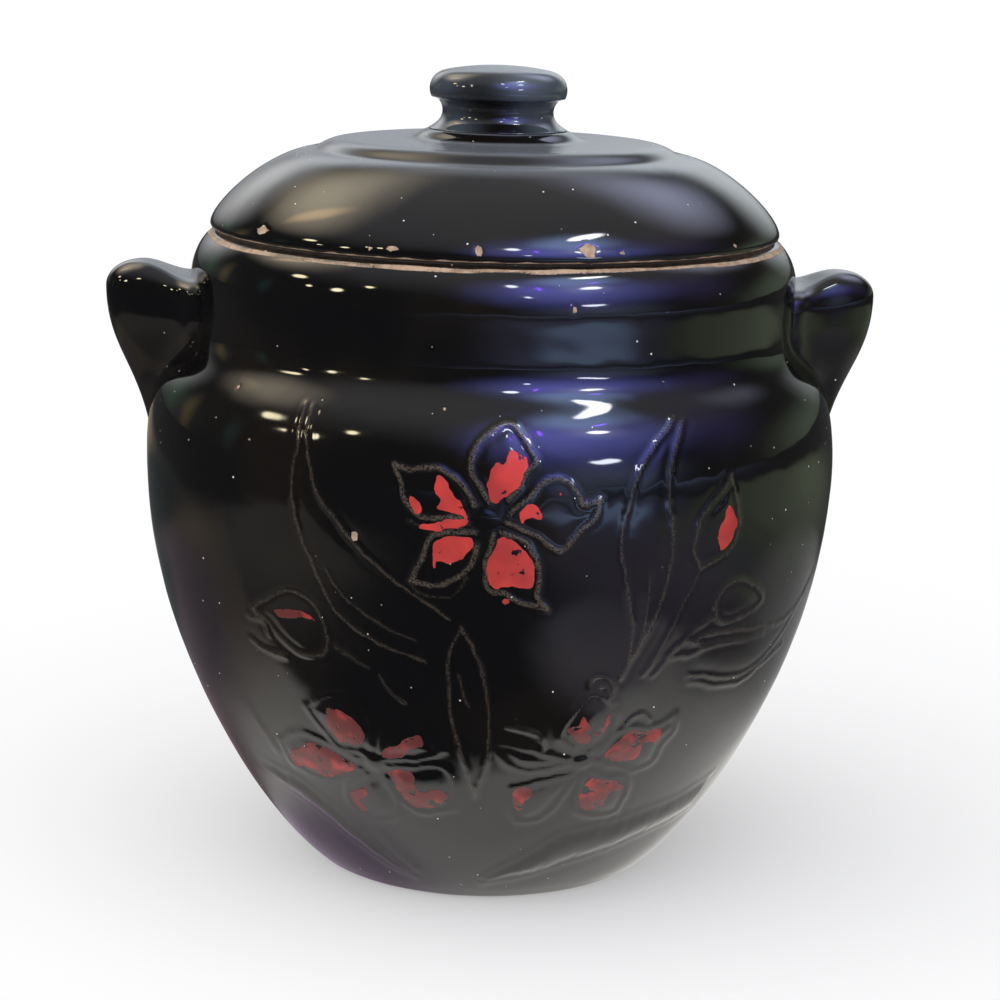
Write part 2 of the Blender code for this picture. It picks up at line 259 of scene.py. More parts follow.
RIGHT_FLOWER = [
    [
        [(20.5, 53), (16, 56.5), (18, 63), (23, 69.5)],
        [(23, 69.5), (27.5, 67.5), (31, 64), (32, 60), (30.5, 54.5), (26.5, 51.5)],
    ],
    [
        [(29, 51.5), (33, 56.5), (38, 57.8), (44, 57), (48.5, 57.5), (52.5, 60)],
        [(52.5, 60), (54.5, 55), (51.5, 50.5), (50, 45.5), (43.5, 44), (38, 45.5), (29.5, 48.5)],
    ],
    [
        [(28, 45.5), (34, 42.8), (41.5, 42), (44, 36.5), (43, 30.5)],
        [(43, 30.5), (38, 29.8), (31, 30.8), (26, 33), (25, 38.5), (25.5, 44)],
    ],
    [
        [(22, 44.8), (18, 44), (10.5, 43), (3, 41)],
        [(3, 41), (3, 35), (5.5, 31), (9, 29.8), (13, 30.5), (17, 33), (19.5, 37), (23, 43)],
    ],
    [
        [(-3.5, 56), (1, 55), (7, 53.5), (12.5, 51.5), (20, 49.5)],
        [(-3.5, 56), (-1, 51), (4, 47.5), (10, 46.5), (20, 48.3)],
    ],
]
BUDS = [
    [
        [(-73, 85.5), (-67, 89.5), (-60.5, 92.5), (-54.5, 91.5), (-50, 86), (-49.5, 80), (-51, 76.8)],
        [(-51, 76.8), (-55.5, 75.5), (-60.5, 76.5), (-65, 80), (-68.5, 83), (-73, 85.5)],
    ],
    [
        [(59.5, 124), (57, 120.5), (50.5, 115), (48.5, 109), (48, 105), (50.5, 100.5)],
        [(59.5, 124), (62, 116), (62.8, 109), (61, 105), (56, 102), (50.5, 100.5)],
    ],
    [[
        (58.5, 86.5), (57.5, 91), (61.5, 95), (67, 95.3), (73.5, 92),
        (77, 88), (69, 85), (62, 84.5), (58.5, 86.5),
    ]],
]
LEAVES = [
    [
        [
            (-58.5, 139.5), (-57.5, 130), (-58, 120), (-56, 110),
            (-52, 101), (-46, 89.5), (-37, 83), (-22, 78),
        ],
        [(-56, 139), (-55, 131.5), (-50.5, 119), (-44.5, 112.5), (-38, 105.5), (-29, 98.5), (-15.5, 90)],
    ],
    [
        [
            (44, 138.5), (36.5, 132.5), (30.5, 125), (27.5, 114),
            (27, 108), (29.5, 97), (32, 88), (32.5, 77),
        ],
        [(46.5, 138), (42, 131), (40, 121), (41.5, 108), (40.5, 98), (38, 88), (32.5, 77)],
    ],
    [
        [(-13, 88), (-16, 79), (-16, 68), (-14.5, 58), (-11, 46), (-8.5, 38)],
        [(-13, 88), (-8.5, 79.5), (-5.5, 66), (-5, 54), (-6.5, 45), (-8.5, 38)],
    ],
    [
        [(52, 80), (56, 82), (66.5, 81.5), (81, 80), (89, 79), (100.5, 81), (112.5, 88.5)],
        [(53, 71), (62, 69.5), (70, 67.5), (79, 67.5), (88, 70), (98, 77), (112.5, 88.5)],
    ],
]
# Single lines: midribs, stems and curls
THREADS = [
    [(-48, 100.5), (-45, 95.5), (-40, 91), (-30.5, 86), (-24.5, 83.5)],
    [(-26, 115), (-20.5, 112.6), (-16, 113), (-11.5, 114.5)],
    [(-26, 99), (-23, 96.5), (-18, 95.3), (-14, 97), (-11.5, 101)],
    [(-47.5, 79.5), (-43.5, 77.5), (-37.5, 75)],
    [(-35, 73), (-32, 68.5), (-27.5, 65.5)],
    [(-13.5, 75), (-12.5, 70.5), (-10.5, 66)],
    [(-76, 83.5), (-70, 83), (-68.5, 79.5)],
    [(-76.5, 77), (-71.5, 74.8), (-64, 74)],
    [(22, 71), (22.5, 73.3), (25.5, 73.7), (28.5, 71.8), (30.5, 66)],
    [(24.3, 70.3), (26, 71.3), (28, 69.5), (28.6, 67.5)],
    [(36, 59), (38, 61), (41, 61.2), (44, 59)],
    [(-0.5, 60), (4.5, 59.3), (9.5, 57.5), (11.5, 53)],
    [(44, 78), (47, 80.3), (52, 81), (55.5, 79), (52, 77.2), (46, 77)],
    [(53.5, 77.5), (61, 79), (72.5, 78.5), (82, 78)],
    [(54.5, 69), (66.5, 66), (78, 65), (86.5, 67.5), (99.5, 71)],
    [(50.5, 100.5), (48, 94.5), (45, 88), (41.5, 80.5), (38, 73.5)],
    [(58, 87), (52, 84), (46, 78.5), (41, 73)],
    [(35, 100), (35.5, 92), (35, 84), (31, 73)],
]
BLADES = [
    [
        [(92, 34), (72, 30.5), (59.5, 29.5), (49.5, 28), (41.5, 27)]
        + [(32.5, 26.5), (24, 25), (18, 22.5), (12, 18.5), (-5.5, 9.5)],
        [(92, 23), (81, 21), (69, 20), (57.5, 18.5), (47.5, 16.5)]
        + [(38.5, 15), (31.5, 14), (18.5, 10.5), (9.5, 9), (-5.5, 7)],
    ],
    [
        [
            (-98, 40), (-91, 38), (-75.5, 36), (-64.5, 31),
            (-55.5, 24.5), (-49.5, 19), (-43, 13.5), (-36.5, 9.5),
        ],
        [(-98, 33), (-91, 31), (-80, 29), (-70, 24.5), (-60, 18), (-52, 13), (-44, 9.5), (-36.5, 7.5)],
    ],
]
FOLDS = [
    [(-47, 24), (-41, 17), (-35, 11)],
    [(-90, 62), (-85, 52), (-80, 44)],
]
BOSSES = [((-7, 116), 2.6, 1.8), ((-40.5, 46.5), 3.4, 2.4), ((24.6, 48.3), 3.6, 1.9)]
SHAPES = [
    (MAIN_FLOWER, CRISP_SHAPE),
    (LEFT_FLOWER + RIGHT_FLOWER, FLOODED_SHAPE),
    (BUDS, BUD_SHAPE),
    (LEAVES, LEAF_SHAPE),
    (BLADES, BLADE_SHAPE),
]
LINES = [(THREADS, THREAD_LINE), (FOLDS, FOLD_LINE)]

# What is left of the cold red paint
RED_PATCHES = [
    [
        (-1.5, 133), (2.5, 130.5), (2.5, 128), (0.5, 123.5), (-4.5, 120),
        (-6.5, 122), (-7, 126), (-5, 129.5), (-3, 129),
    ],
    [
        (-19, 126), (-17, 125), (-15.5, 122), (-12, 117),
        (-14.5, 116.8), (-19, 118), (-18.5, 120), (-20.2, 123.5),
    ],
    [(-25.5, 121), (-22.5, 118), (-23.5, 116.5), (-25.5, 118.5)],
    [(-24, 113.6), (-20.5, 112.4), (-15, 113.2), (-12, 114.5), (-12, 116), (-17, 115), (-21, 114)],
    [
        (-19, 110.5), (-11, 111), (-10, 109), (-12, 106.5),
        (-15, 104.7), (-18.5, 104.7), (-19.5, 102.8), (-20, 106),
    ],
    [
        (-4, 111), (-1, 111), (4, 106.5), (5, 103), (4.3, 98.5),
        (-2, 98.8), (-4.5, 98.5), (-7, 103), (-5, 108),
    ],
    [(-2.5, 95.3), (-0.5, 95.6), (-1, 94.3), (-2.6, 94.4)],
    [(3.5, 119.5), (6, 118.5), (6.5, 116), (3.5, 116.4), (1.5, 114.8), (1, 116), (1.8, 118.2)],
    [(10.6, 122.5), (11.4, 122.9), (11.9, 122.3), (11, 121.8)],
    [
        (-51.5, 62), (-46.5, 61), (-42.5, 57), (-42.5, 53),
        (-46, 51.3), (-51.5, 52.3), (-54, 55.5), (-53, 60),
    ],
    [
        (-29, 55.5), (-25, 56.5), (-24, 54), (-28, 52.3),
        (-31, 49.3), (-37.5, 48.5), (-36, 51.5), (-32, 53),
    ],
    [
        (-36, 44.5), (-29, 45), (-27, 39.5), (-20.5, 40.5), (-17.5, 38.5),
        (-20, 35), (-28, 33.5), (-33, 37), (-35.5, 42),
    ],
    [(-45.5, 38.5), (-46, 35.5), (-49, 34), (-46.5, 31), (-48.5, 29), (-51.5, 31.5), (-52.5, 35)],
    [
        (-63, 49), (-58, 49), (-49, 46), (-47, 44), (-52, 42),
        (-60, 39), (-65.5, 41), (-73.5, 40.5), (-72.5, 44.5),
    ],
    [
        (17.5, 59), (20.5, 60), (21.5, 62.5), (24, 60), (23, 57.5),
        (25, 56.5), (24.5, 54), (21.5, 54.5), (19, 57),
    ],
    [(25.5, 58), (28, 59), (29.5, 63), (30.3, 61), (29, 57.5), (26.5, 56.5)],
    [
        (31, 50.5), (34, 53.5), (38, 57), (43, 56), (49, 56),
        (48.5, 52.3), (43, 53), (43, 48.5), (37.5, 47.5), (32.5, 48.3),
    ],
    [(29, 43), (34, 42), (40.5, 40.5), (42, 38), (36.5, 38), (36, 34), (31, 32), (27, 34.5), (26.3, 39)],
    [(4, 41), (8, 42), (10, 39.5), (8, 37.5), (6, 34), (4, 37)],
    [(59, 116.5), (61, 114), (62, 110.5), (60, 106), (56.5, 105), (55.5, 109), (57, 113)],
]
FAINT_PATCHES = [
    [(-66, 86.5), (-59.5, 88.7), (-54.5, 88), (-51.5, 85.3), (-56.5, 85.7), (-62.5, 84.5)],
]
FAINT_WEAR = 0.55

# Bare spots as (azimuth in degrees, height, half width, half height, depth), the rest in millimetres
LID_CHIPS = [
    (-54.9, 3.6, 2.2, 1.0, 0.30),
    (13.5, 3.4, 1.9, 1.7, 0.20),
    (-6.9, 3.2, 1.0, 1.2, 0.20),
    (-23.1, 2.6, 1.6, 0.5, 0.15),
    (-27.5, 2.2, 0.8, 0.5, 0.15),
    (20.2, 2.6, 0.7, 0.6, 0.15),
    (48.9, 2.3, 0.8, 0.5, 0.15),
    (133.0, 2.6, 1.2, 0.6, 0.20),
    (-141.0, 3.0, 1.6, 0.9, 0.30),
]
POT_CHIPS = [
    (10.0, 165.5, 0.7, 0.8, 0.25),
    (-24.2, 109.3, 0.9, 1.3, 0.25),
    (-11.5, 141.3, 0.5, 0.4, 0.15),
    (27.1, 147.0, 0.4, 0.4, 0.15),
    (-51.1, 140.9, 0.5, 0.5, 0.15),
    (-32.2, 138.3, 0.4, 0.5, 0.15),
    (-44.3, 129.6, 0.5, 0.5, 0.15),
    (-30.6, 102.9, 0.35, 0.35, 0.10),
    (-46.7, 123.3, 0.35, 0.35, 0.10),
    (31.0, 150.5, 0.5, 0.4, 0.15),
    (152.0, 96.0, 0.7, 0.8, 0.20),
    (-118.0, 71.0, 0.6, 0.6, 0.20),
]
CLAY_LINE = 1.45
CLAY_HALF_WIDTH = 0.44
BARE_SEAT_REACH = 0.4
BARE_FOOT_REACH = 0.05
BARE_LID_REACH = 0.35
FLANGE_ROOM = 0.0002
FOOT_EDGE = 0.0005
LID_UNDERSIDE = -0.2
# Paint and clay values are distances inside their edges, in millimetres, and this is well outside.
FAR_OUTSIDE = -5.0

BLACK_GLAZE = (0.0022, 0.0021, 0.0027)
BROWN_GLAZE = (0.0058, 0.0044, 0.0036)
# The knob's glaze: a teal tint of its own, made lighter by a painted sheen that stands for the room it
# mirrors.
TEAL_GLAZE_AND_SHEEN = (0.0850, 0.1050, 0.1350)
THIN_GLAZE = (0.085, 0.066, 0.050)
RED_PAINT = (0.580, 0.030, 0.021)
DARK_RED_PAINT = (0.380, 0.016, 0.013)
LOW_RED_PAINT = (0.130, 0.013, 0.011)
CLAY = (0.490, 0.350, 0.245)
DARK_CLAY = (0.330, 0.215, 0.140)
PINHOLE = (0.720, 0.700, 0.680)
# Dust and painted sheen: glaze facing up is paled, partly by dust and partly by a painted sheen that stands
# for a bright ceiling's reflection.
DUST_AND_SHEEN = (0.420, 0.450, 0.500)
DUST_AND_SHEEN_SHARE = 0.30
DUST_AND_SHEEN_FACING = (0.90, 0.985)

# Patterns of the glaze. A scale is in swells per metre, and a pair holds the limits of a soft edge.
BROAD_SCALE = 26.0
FINE_SCALE = 420.0
GRIT_SCALE = 2600.0
BROWN_AREAS = (0.42, 0.68)
WORN_CRESTS = (0.30, 0.95)
WORN_GRIT = (0.34, 0.60)
PAINT_RAGGEDNESS = 1.3
PAINT_EDGE = (-0.04, 0.06)
SCUFF_SCALE = 300.0
SCUFF_EDGE = (0.30, 0.36)
RED_SCALE = 90.0
RED_AREAS = (0.38, 0.72)
DARKER_LOW_SCALE = 170.0
DARKER_LOW_AREAS = (0.20, 0.50)
# The paint below these heights is scuffed more and turns a darker red in patches.
LOW_PAINT = (0.087, 0.099)
LOW_SCUFFING = 0.06
CLAY_RAGGEDNESS = 0.35
CLAY_EDGE = (-0.06, 0.10)
CLAY_AREAS = (0.35, 0.65)
PIT_SCALE = 260.0
PIT_PICK = (0.35, 1.0)
PIT_SIZE = 0.070

# Finish of the glaze
GLOSS_AREAS = (0.35, 0.70)
GLAZE_ROUGHNESS = (0.045, 0.085)
DUST_AND_SHEEN_ROUGHNESS = 0.20
WORN_ROUGHNESS = 0.30
PAINT_ROUGHNESS = 0.42
CLAY_ROUGHNESS = 0.80
PEEL_SCALE = 210.0
PEEL_HEIGHT = 0.10
PAINT_HEIGHT = 0.8
CLAY_GRIT = 0.5
BUMP_HEIGHT = 0.00012
GLAZE_IOR = 1.60

# Light. Only the glaze sees the room: (azimuth, elevation, half width, half height, softness, colour)
SUN_STRENGTH = 3.0
SUN_WIDTH = math.radians(100)
SUN_TILT = (math.radians(22), math.radians(-14), 0)
PLAIN_WORLD = (0.25, 0.25, 0.27)
BACKDROP = (1.0, 1.0, 1.0)
ROOM_LOW = (0.06, 0.06, 0.055)
ROOM_HIGH = (0.48, 0.48, 0.50)
ROOM_FADE = (0.40, 1.0)
GLOW_DEPTH = 1.2
GLOWS = [
    (28, 38, 48, 38, 1.0, (1.20, 1.34, 4.80)),
    (42, 58, 20, 14, 0.8, (1.30, 2.00, 3.30)),
    (38, 43, 13, 12, 1.0, (1.10, 1.15, 1.00)),
    (14, 44, 12, 12, 1.0, (0.25, 0.10, 1.40)),
    (35, 6, 40, 14, 1.0, (0.40, 0.50, 0.82)),
    (80, 30, 32, 30, 1.0, (0.16, 0.12, 0.44)),
    (122, 3, 40, 18, 1.0, (0.20, 0.27, 0.18)),
    (136, 46, 30, 22, 1.0, (1.60, 1.70, 2.40)),
    (158, 15, 28, 18, 1.0, (1.00, 1.08, 1.12)),
    (178, 24, 36, 15, 1.0, (0.60, 0.66, 0.74)),
    (178, 5, 45, 12, 1.0, (0.45, 0.48, 0.53)),
    (-158, 20, 26, 20, 1.0, (1.50, 1.50, 1.50)),
    (-132, 48, 38, 22, 1.0, (2.90, 2.50, 1.80)),
    (-121, 47, 5, 13, 0.8, (2.60, 1.60, 0.70)),
    (-138, 8, 30, 13, 1.0, (0.07, 0.09, 0.07)),
    (-98, 10, 6, 14, 1.0, (0.05, 0.13, 0.12)),
    (-126, 8, 6, 16, 1.0, (0.26, 0.17, 0.05)),
    (-141, 10, 8, 16, 1.0, (0.02, 0.09, 0.05)),
    (40, 43, 4.5, 2.6, 0.3, (18.0, 18.0, 18.0)),
    (5, 51, 2.6, 3.4, 0.3, (16.0, 17.0, 18.0)),
    (60, 63, 8.0, 2.4, 0.3, (18.0, 18.0, 18.0)),
    (34, 16, 5.5, 1.8, 0.3, (15.0, 16.0, 18.0)),
    (10, 30, 1.4, 1.8, 0.3, (15.0, 16.0, 18.0)),
    (16, 45, 0.8, 4.0, 0.4, (4.0, 1.0, 16.0)),
    (47, 52, 3.0, 0.9, 0.4, (4.0, 1.0, 16.0)),
    (-90, 30, 4.0, 3.0, 0.5, (15.0, 13.5, 8.5)),
    (-67, 22, 2.6, 3.4, 0.4, (18.0, 16.5, 11.0)),
    (-55, 33, 2.4, 2.2, 0.4, (18.0, 16.0, 10.0)),
    (-80, 21, 1.6, 1.6, 0.4, (18.0, 15.5, 10.0)),
]

# Floor. The glaze mirrors it as a tabletop between these edges, with a slanted front, and soft discs.
FLOOR_REACH = 40.0
FLOOR_GAP = 0.0003
PALE_FLOOR = (0.955, 0.955, 0.955)
PALE_FLOOR_TOO = (0.945, 0.945, 0.945)
DARK_FLOOR = (0.05, 0.05, 0.05)
TABLE = (1.14, 1.12, 1.07)
TABLE_SHADE = (0.28, 0.23, 0.17)
TABLE_SHADE_EDGE = (-0.22, -0.05)
TABLE_LEFT = (-0.60, -0.34)
TABLE_RIGHT = (0.075, 0.205)
TABLE_FRONT = (-0.108, -0.092)
TABLE_FRONT_SLANT = 0.18
TABLE_LIT = 0.45
TABLE_GLOW = 0.60
SHADOW_SHARE = 0.60
FLOOR_ROUGHNESS = 0.6
FLOOR_MOTTLE = 3.0
DISC_EDGE = (0.0, 0.6)
# Painted light and shade that only the glaze's reflections show: the dark discs beside the foot are a
# painted contact shadow, and the bright ones are painted light.
FLOOR_DISCS = [
    ((7.00, -9.70), 12.0, (0.40, 0.50, 0.82)),
    ((-0.36, 0.36), 0.30, (0.06, 0.07, 0.07)),
    ((-0.20, 0.11), 0.20, (0.17, 0.14, 0.16)),
    ((-0.17, 0.22), 0.11, (0.08, 0.09, 0.09)),
    ((0.24, 0.13), 0.20, (0.30, 0.30, 0.30)),
    # Painted contact shadow beside the foot, seen only in the glaze.
    ((-0.07, 0.05), 0.075, (0.20, 0.15, 0.16)),
    ((-0.035, -0.02), 0.05, (0.50, 0.40, 0.52)),
    ((0.14, -0.13), 0.06, (0.80, 0.76, 0.72)),
    ((0.11, -0.17), 0.085, (0.42, 0.40, 0.46)),
    ((0.35, -0.28), 0.35, (0.22, 0.21, 0.29)),
    ((-0.38, -0.20), 0.30, (0.22, 0.21, 0.19)),
    ((0.55, -0.95), 0.75, (0.30, 0.32, 0.56)),
    ((0.48, -0.74), 0.34, (0.70, 1.00, 1.60)),
    ((0.85, 0.15), 0.70, (0.27, 0.32, 0.22)),
]

CAMERA_DISTANCE = 0.700
CAMERA_HEIGHT = 0.252
AIM_HEIGHT = 0.1001
CAMERA_TURN = math.radians(-4.0)
CAMERA_YAW = 0.0046
CAMERA_ROLL = 0.02535
SENSOR = 36.0
LENS = 91.9


def cubic(start, leave, arrive, end, count=CURVE_POINTS):
    """Points of a cubic curve after its start. leave and arrive are its handles, each from its own end."""
    t = np.linspace(0, 1, count + 1)[1:, None]
    a, d = np.array(start), np.array(end)
    b, c = a + np.array(leave), d + np.array(arrive)
    return a * (1 - t) ** 3 + 3 * b * t * (1 - t) ** 2 + 3 * c * t * t * (1 - t) + d * t**3


def spaced(points, step):
    """The same line with its points evenly spaced, about a step apart."""
    points = np.array(points, float)
    run = np.r_[0, np.cumsum(np.hypot(*np.diff(points, axis=0).T))]
    count = max(2, int(math.ceil(run[-1] / step)) + 1)
    places = np.linspace(0, run[-1], count)
    return np.c_[np.interp(places, run, points[:, 0]), np.interp(places, run, points[:, 1])]


def joined(*lines):
    """Lines end to end, without the doubled points where they meet."""
    points = np.vstack(lines)
    keep = np.r_[True, np.hypot(*np.diff(points, axis=0).T) > 1e-6]
    return points[keep]


def pot_side():
    """The pot's outer line, from the flat top of its rim down to the foot, finely sampled."""
    rim, collar, waist = (SEAT_RADIUS, RIM_Z), (COLLAR_RADIUS, COLLAR_Z), (WAIST_RADIUS, WAIST_Z)
    belly, heel, foot = (BELLY_RADIUS, BELLY_Z), (HEEL_RADIUS, HEEL_Z), (FOOT_RADIUS, 0.0)
    rim_rise, collar_rise = RIM_Z - COLLAR_Z, COLLAR_Z - WAIST_Z
    shoulder_rise, belly_rise = WAIST_Z - BELLY_Z, BELLY_Z - HEEL_Z
    lean = (HEEL_LEAN[0] * (BELLY_RADIUS - HEEL_RADIUS), HEEL_LEAN[1] * belly_rise)
    onward = HEEL_PULL * HEEL_Z / lean[1]
    leave_heel = (-onward * lean[0], -onward * lean[1])
    reach_foot = ROUND_PULL * (HEEL_RADIUS - FOOT_RADIUS)
    return joined(
        [rim],
        cubic(rim, (RIM_PULLS[0] * (COLLAR_RADIUS - SEAT_RADIUS), 0), (0, RIM_PULLS[1] * rim_rise), collar),
        cubic(collar, (0, -COLLAR_PULL * collar_rise), (0, COLLAR_PULL * collar_rise), waist),
        cubic(
            waist,
            (0, -WAIST_PULL * shoulder_rise),
            (0, SHOULDER_PULL * shoulder_rise),
            belly,
            LONG_CURVE_POINTS,
        ),
        cubic(belly, (0, -SIDE_FULLNESS * belly_rise), lean, heel, BELLY_POINTS),
        cubic(heel, leave_heel, (reach_foot, 0), foot),
    )


def pot_lining():
    """The pot's inner line, from the middle of its floor up to the flat top of its rim."""
    outer = pot_side()[::-1]
    side = outer[(outer[:, 1] > FLOOR_Z + FLOOR_BEND_RISE) & (outer[:, 1] < WAIST_Z)] - (WALL, 0)
    floor_edge = (side[0, 0] - FLOOR_BEND_RUN, FLOOR_Z)
    lean = (side[0] - side[1]) * FLOOR_BEND_LEAN
    lip = (MOUTH_RADIUS, LIP_Z)
    climb = (LIP_Z - side[-1, 1]) * THROAT_PULL
    edge = (MOUTH_RADIUS, RIM_Z - MOUTH_ROUND)
    rounded = (MOUTH_RADIUS + MOUTH_ROUND, RIM_Z)
    pull = ROUND_PULL * MOUTH_ROUND
    bend = cubic(floor_edge, (FLOOR_BEND_PULL * FLOOR_BEND_RUN, 0), lean, side[0])
    throat = cubic(side[-1], (0, climb), (0, -climb), lip)
    wall = spaced(joined([(0.0, FLOOR_Z), floor_edge], bend, side, throat, [edge]), LINING_STEP)
    return joined(wall, cubic(edge, (0, pull), (-pull, 0), rounded, MOUTH_POINTS))


def pot_outline():
    """(the points of the pot's section, how many come before its outer side), finest where it is carved."""
    lining = pot_lining()
    side = pot_side()
    z = side[:, 1]
    top = spaced(side[z >= ZONE_TOP], TOP_STEP)
    carved = spaced(side[(z <= ZONE_TOP + SEAM) & (z >= ZONE_FOOT)], FINE)
    heel = spaced(side[z <= ZONE_FOOT + SEAM], HEEL_STEP)
    ring = FOOT_RADIUS - FOOT_RING_WIDTH
    recess = [(r, FOOT_RECESS) for r in (ring - FOOT_RECESS, UNDER_FLAT_RADIUS, 0.0)]
    under = [(ring, 0.0)] + recess
    return joined(lining, top, carved, heel, under), len(lining)


def fillet(upper, lower, pulls):
    """A curve down and outward, with its handles' run and drop at the top, and run and rise at its foot."""
    run, drop = lower[0] - upper[0], upper[1] - lower[1]
    return cubic(upper, (pulls[0] * run, -pulls[1] * drop), (-pulls[2] * run, pulls[3] * drop), lower)


def lid_outline():
    """The lid's section, from the middle of its top round to the middle of its hollow."""
    boss, boss_foot = (KNOB_FLARE_RADIUS, BOSS_Z), (KNOB_FLARE_RADIUS + BOSS_SPREAD, BOSS_FOOT_Z)
    plateau, dome, edge = (PLATEAU_RADIUS, PLATEAU_Z), (DOME_RADIUS, DOME_Z), (LID_RADIUS, LID_EDGE_ROUND)
    under = (LID_RADIUS - LID_EDGE_ROUND, 0.0)
    dome_run, dome_rise = LID_RADIUS - DOME_RADIUS, DOME_Z - LID_EDGE_ROUND
    leave_dome = (DOME_PULLS[0] * dome_run, -DOME_PULLS[1] * dome_rise)
    pull = ROUND_PULL * LID_EDGE_ROUND
    top = joined(
        [(0.0, BOSS_Z), boss],
        fillet(boss, boss_foot, BOSS_PULLS),
        [plateau],
        fillet(plateau, dome, STEP_PULLS),
        cubic(dome, leave_dome, (0, DOME_PULLS[2] * dome_rise), edge, LONG_CURVE_POINTS),
        cubic(edge, (0, -pull), (pull, 0), under, SHORT_CURVE_POINTS),
    )
    inner, hollow_top = FLANGE_RADIUS - FLANGE_WALL, PLATEAU_Z - LID_WALL
    ceiling = (PLATEAU_RADIUS - LID_WALL, hollow_top)
    flange = [
        (FLANGE_RADIUS, 0.0),
        (FLANGE_RADIUS, FLANGE_ROUND - FLANGE_DEPTH),
        (FLANGE_RADIUS - FLANGE_ROUND, -FLANGE_DEPTH),
        (inner + FLANGE_ROUND, -FLANGE_DEPTH),
        (inner, FLANGE_ROUND - FLANGE_DEPTH),
        (inner, 0.0),
    ]
    rise, reach = (0, ROUND_PULL * hollow_top), (ROUND_PULL * (inner - ceiling[0]), 0)
    vault = cubic((inner, 0.0), rise, reach, ceiling, SHORT_CURVE_POINTS)
    return joined(spaced(top, LID_STEP), flange, vault, [(0.0, hollow_top)])


def knob_outline():
    """The knob's section, from the middle of its top down to its base."""
    top = (0.0, KNOB_CROWN_Z + KNOB_CROWN_RISE)
    crown = (KNOB_RADIUS - KNOB_CORNER, KNOB_CROWN_Z)
    widest, neck = (KNOB_RADIUS, KNOB_WIDEST_Z), (NECK_RADIUS, NECK_Z)
    across, slope_run, slope_drop = KNOB_CROWN_PULLS
    slope = (slope_run * crown[0], -slope_drop * KNOB_CROWN_RISE)
    corner_rise = ROUND_PULL * (KNOB_CROWN_Z - KNOB_WIDEST_Z)
    lip = (KNOB_LIP_RADIUS, KNOB_LIP_Z)
    under = KNOB_UNDER_PULL * (KNOB_LIP_RADIUS - NECK_RADIUS)
    lip_drop = KNOB_SIDE_PULL * (KNOB_LIP_Z - KNOB_WIDEST_Z)
    neck_rise = KNOB_SIDE_PULL * (KNOB_LIP_Z - NECK_Z)
    leave_neck = (0, -KNOB_BASE_PULLS[0] * NECK_Z)
    reach_base = (KNOB_BASE_PULLS[1] * (NECK_RADIUS - KNOB_FLARE_RADIUS), KNOB_BASE_PULLS[2] * NECK_Z)
    side = joined(
        [top],
        cubic(top, (across * crown[0], 0), (-slope[0], -slope[1]), crown),
        cubic(crown, slope, (0, corner_rise), widest),
        cubic(widest, (0, lip_drop), KNOB_LIP_LEAN, lip, SHORT_CURVE_POINTS),
        cubic(lip, (-under, -KNOB_UNDER_DROP), (0, neck_rise), neck),
        cubic(neck, leave_neck, reach_base, (KNOB_FLARE_RADIUS, 0.0)),
    )
    base = [(KNOB_FLARE_RADIUS + LUTE_GAP, -LUTE_GAP), (0.0, -LUTE_GAP)]
    return joined(spaced(side, KNOB_STEP), base)


def swells(x, y, size, seed):
    """Smooth noise between -1 and 1, whose swells are about this size."""
    lattice = np.random.default_rng(seed).uniform(-1, 1, (LATTICE, LATTICE))
    u, v = np.asarray(x) / size + LATTICE_SHIFT, np.asarray(y) / size + LATTICE_SHIFT
    i, j = np.floor(u).astype(int), np.floor(v).astype(int)
    s, t = u - i, v - j
    s, t = s * s * (3 - 2 * s), t * t * (3 - 2 * t)
    i, j, k, m = i % LATTICE, j % LATTICE, (i + 1) % LATTICE, (j + 1) % LATTICE
    low = lattice[i, j] * (1 - s) + lattice[k, j] * s
    high = lattice[i, m] * (1 - s) + lattice[k, m] * s
    return low * (1 - t) + high * t


def wander(x, y, layers):
    """The unevenness that the layers add up to at each place."""
    return sum(depth * swells(x, y, size, seed) for depth, size, seed in layers)


def flowing(points, steps=8):
    """A smooth line through the points."""
    p = np.array(points, float)
    ends = np.vstack([2 * p[0] - p[1], p, 2 * p[-1] - p[-2]])
    t = np.linspace(0, 1, steps, endpoint=False)[:, None]
    line = []
    for a, b, c, d in zip(ends, ends[1:], ends[2:], ends[3:]):
        bend, twist = a - 2.5 * b + 2 * c - d / 2, 1.5 * (b - c) + (d - a) / 2
        line.append(b + t * (c - a) / 2 + t**2 * bend + t**3 * twist)
    return np.vstack(line + [p[-1:]])


def flowing_ring(points, steps=4):
    """A smooth closed line through the points."""
    p = [tuple(q) for q in points]
    line = flowing(p[-1:] + p + p[:2], steps)
    return line[steps : steps * (len(p) + 1) + 1]


def raise_to(layer, places, values):
    """Lets the values stand where they are higher than what the layer has there."""
    layer[places] = np.maximum(layer[places], values)


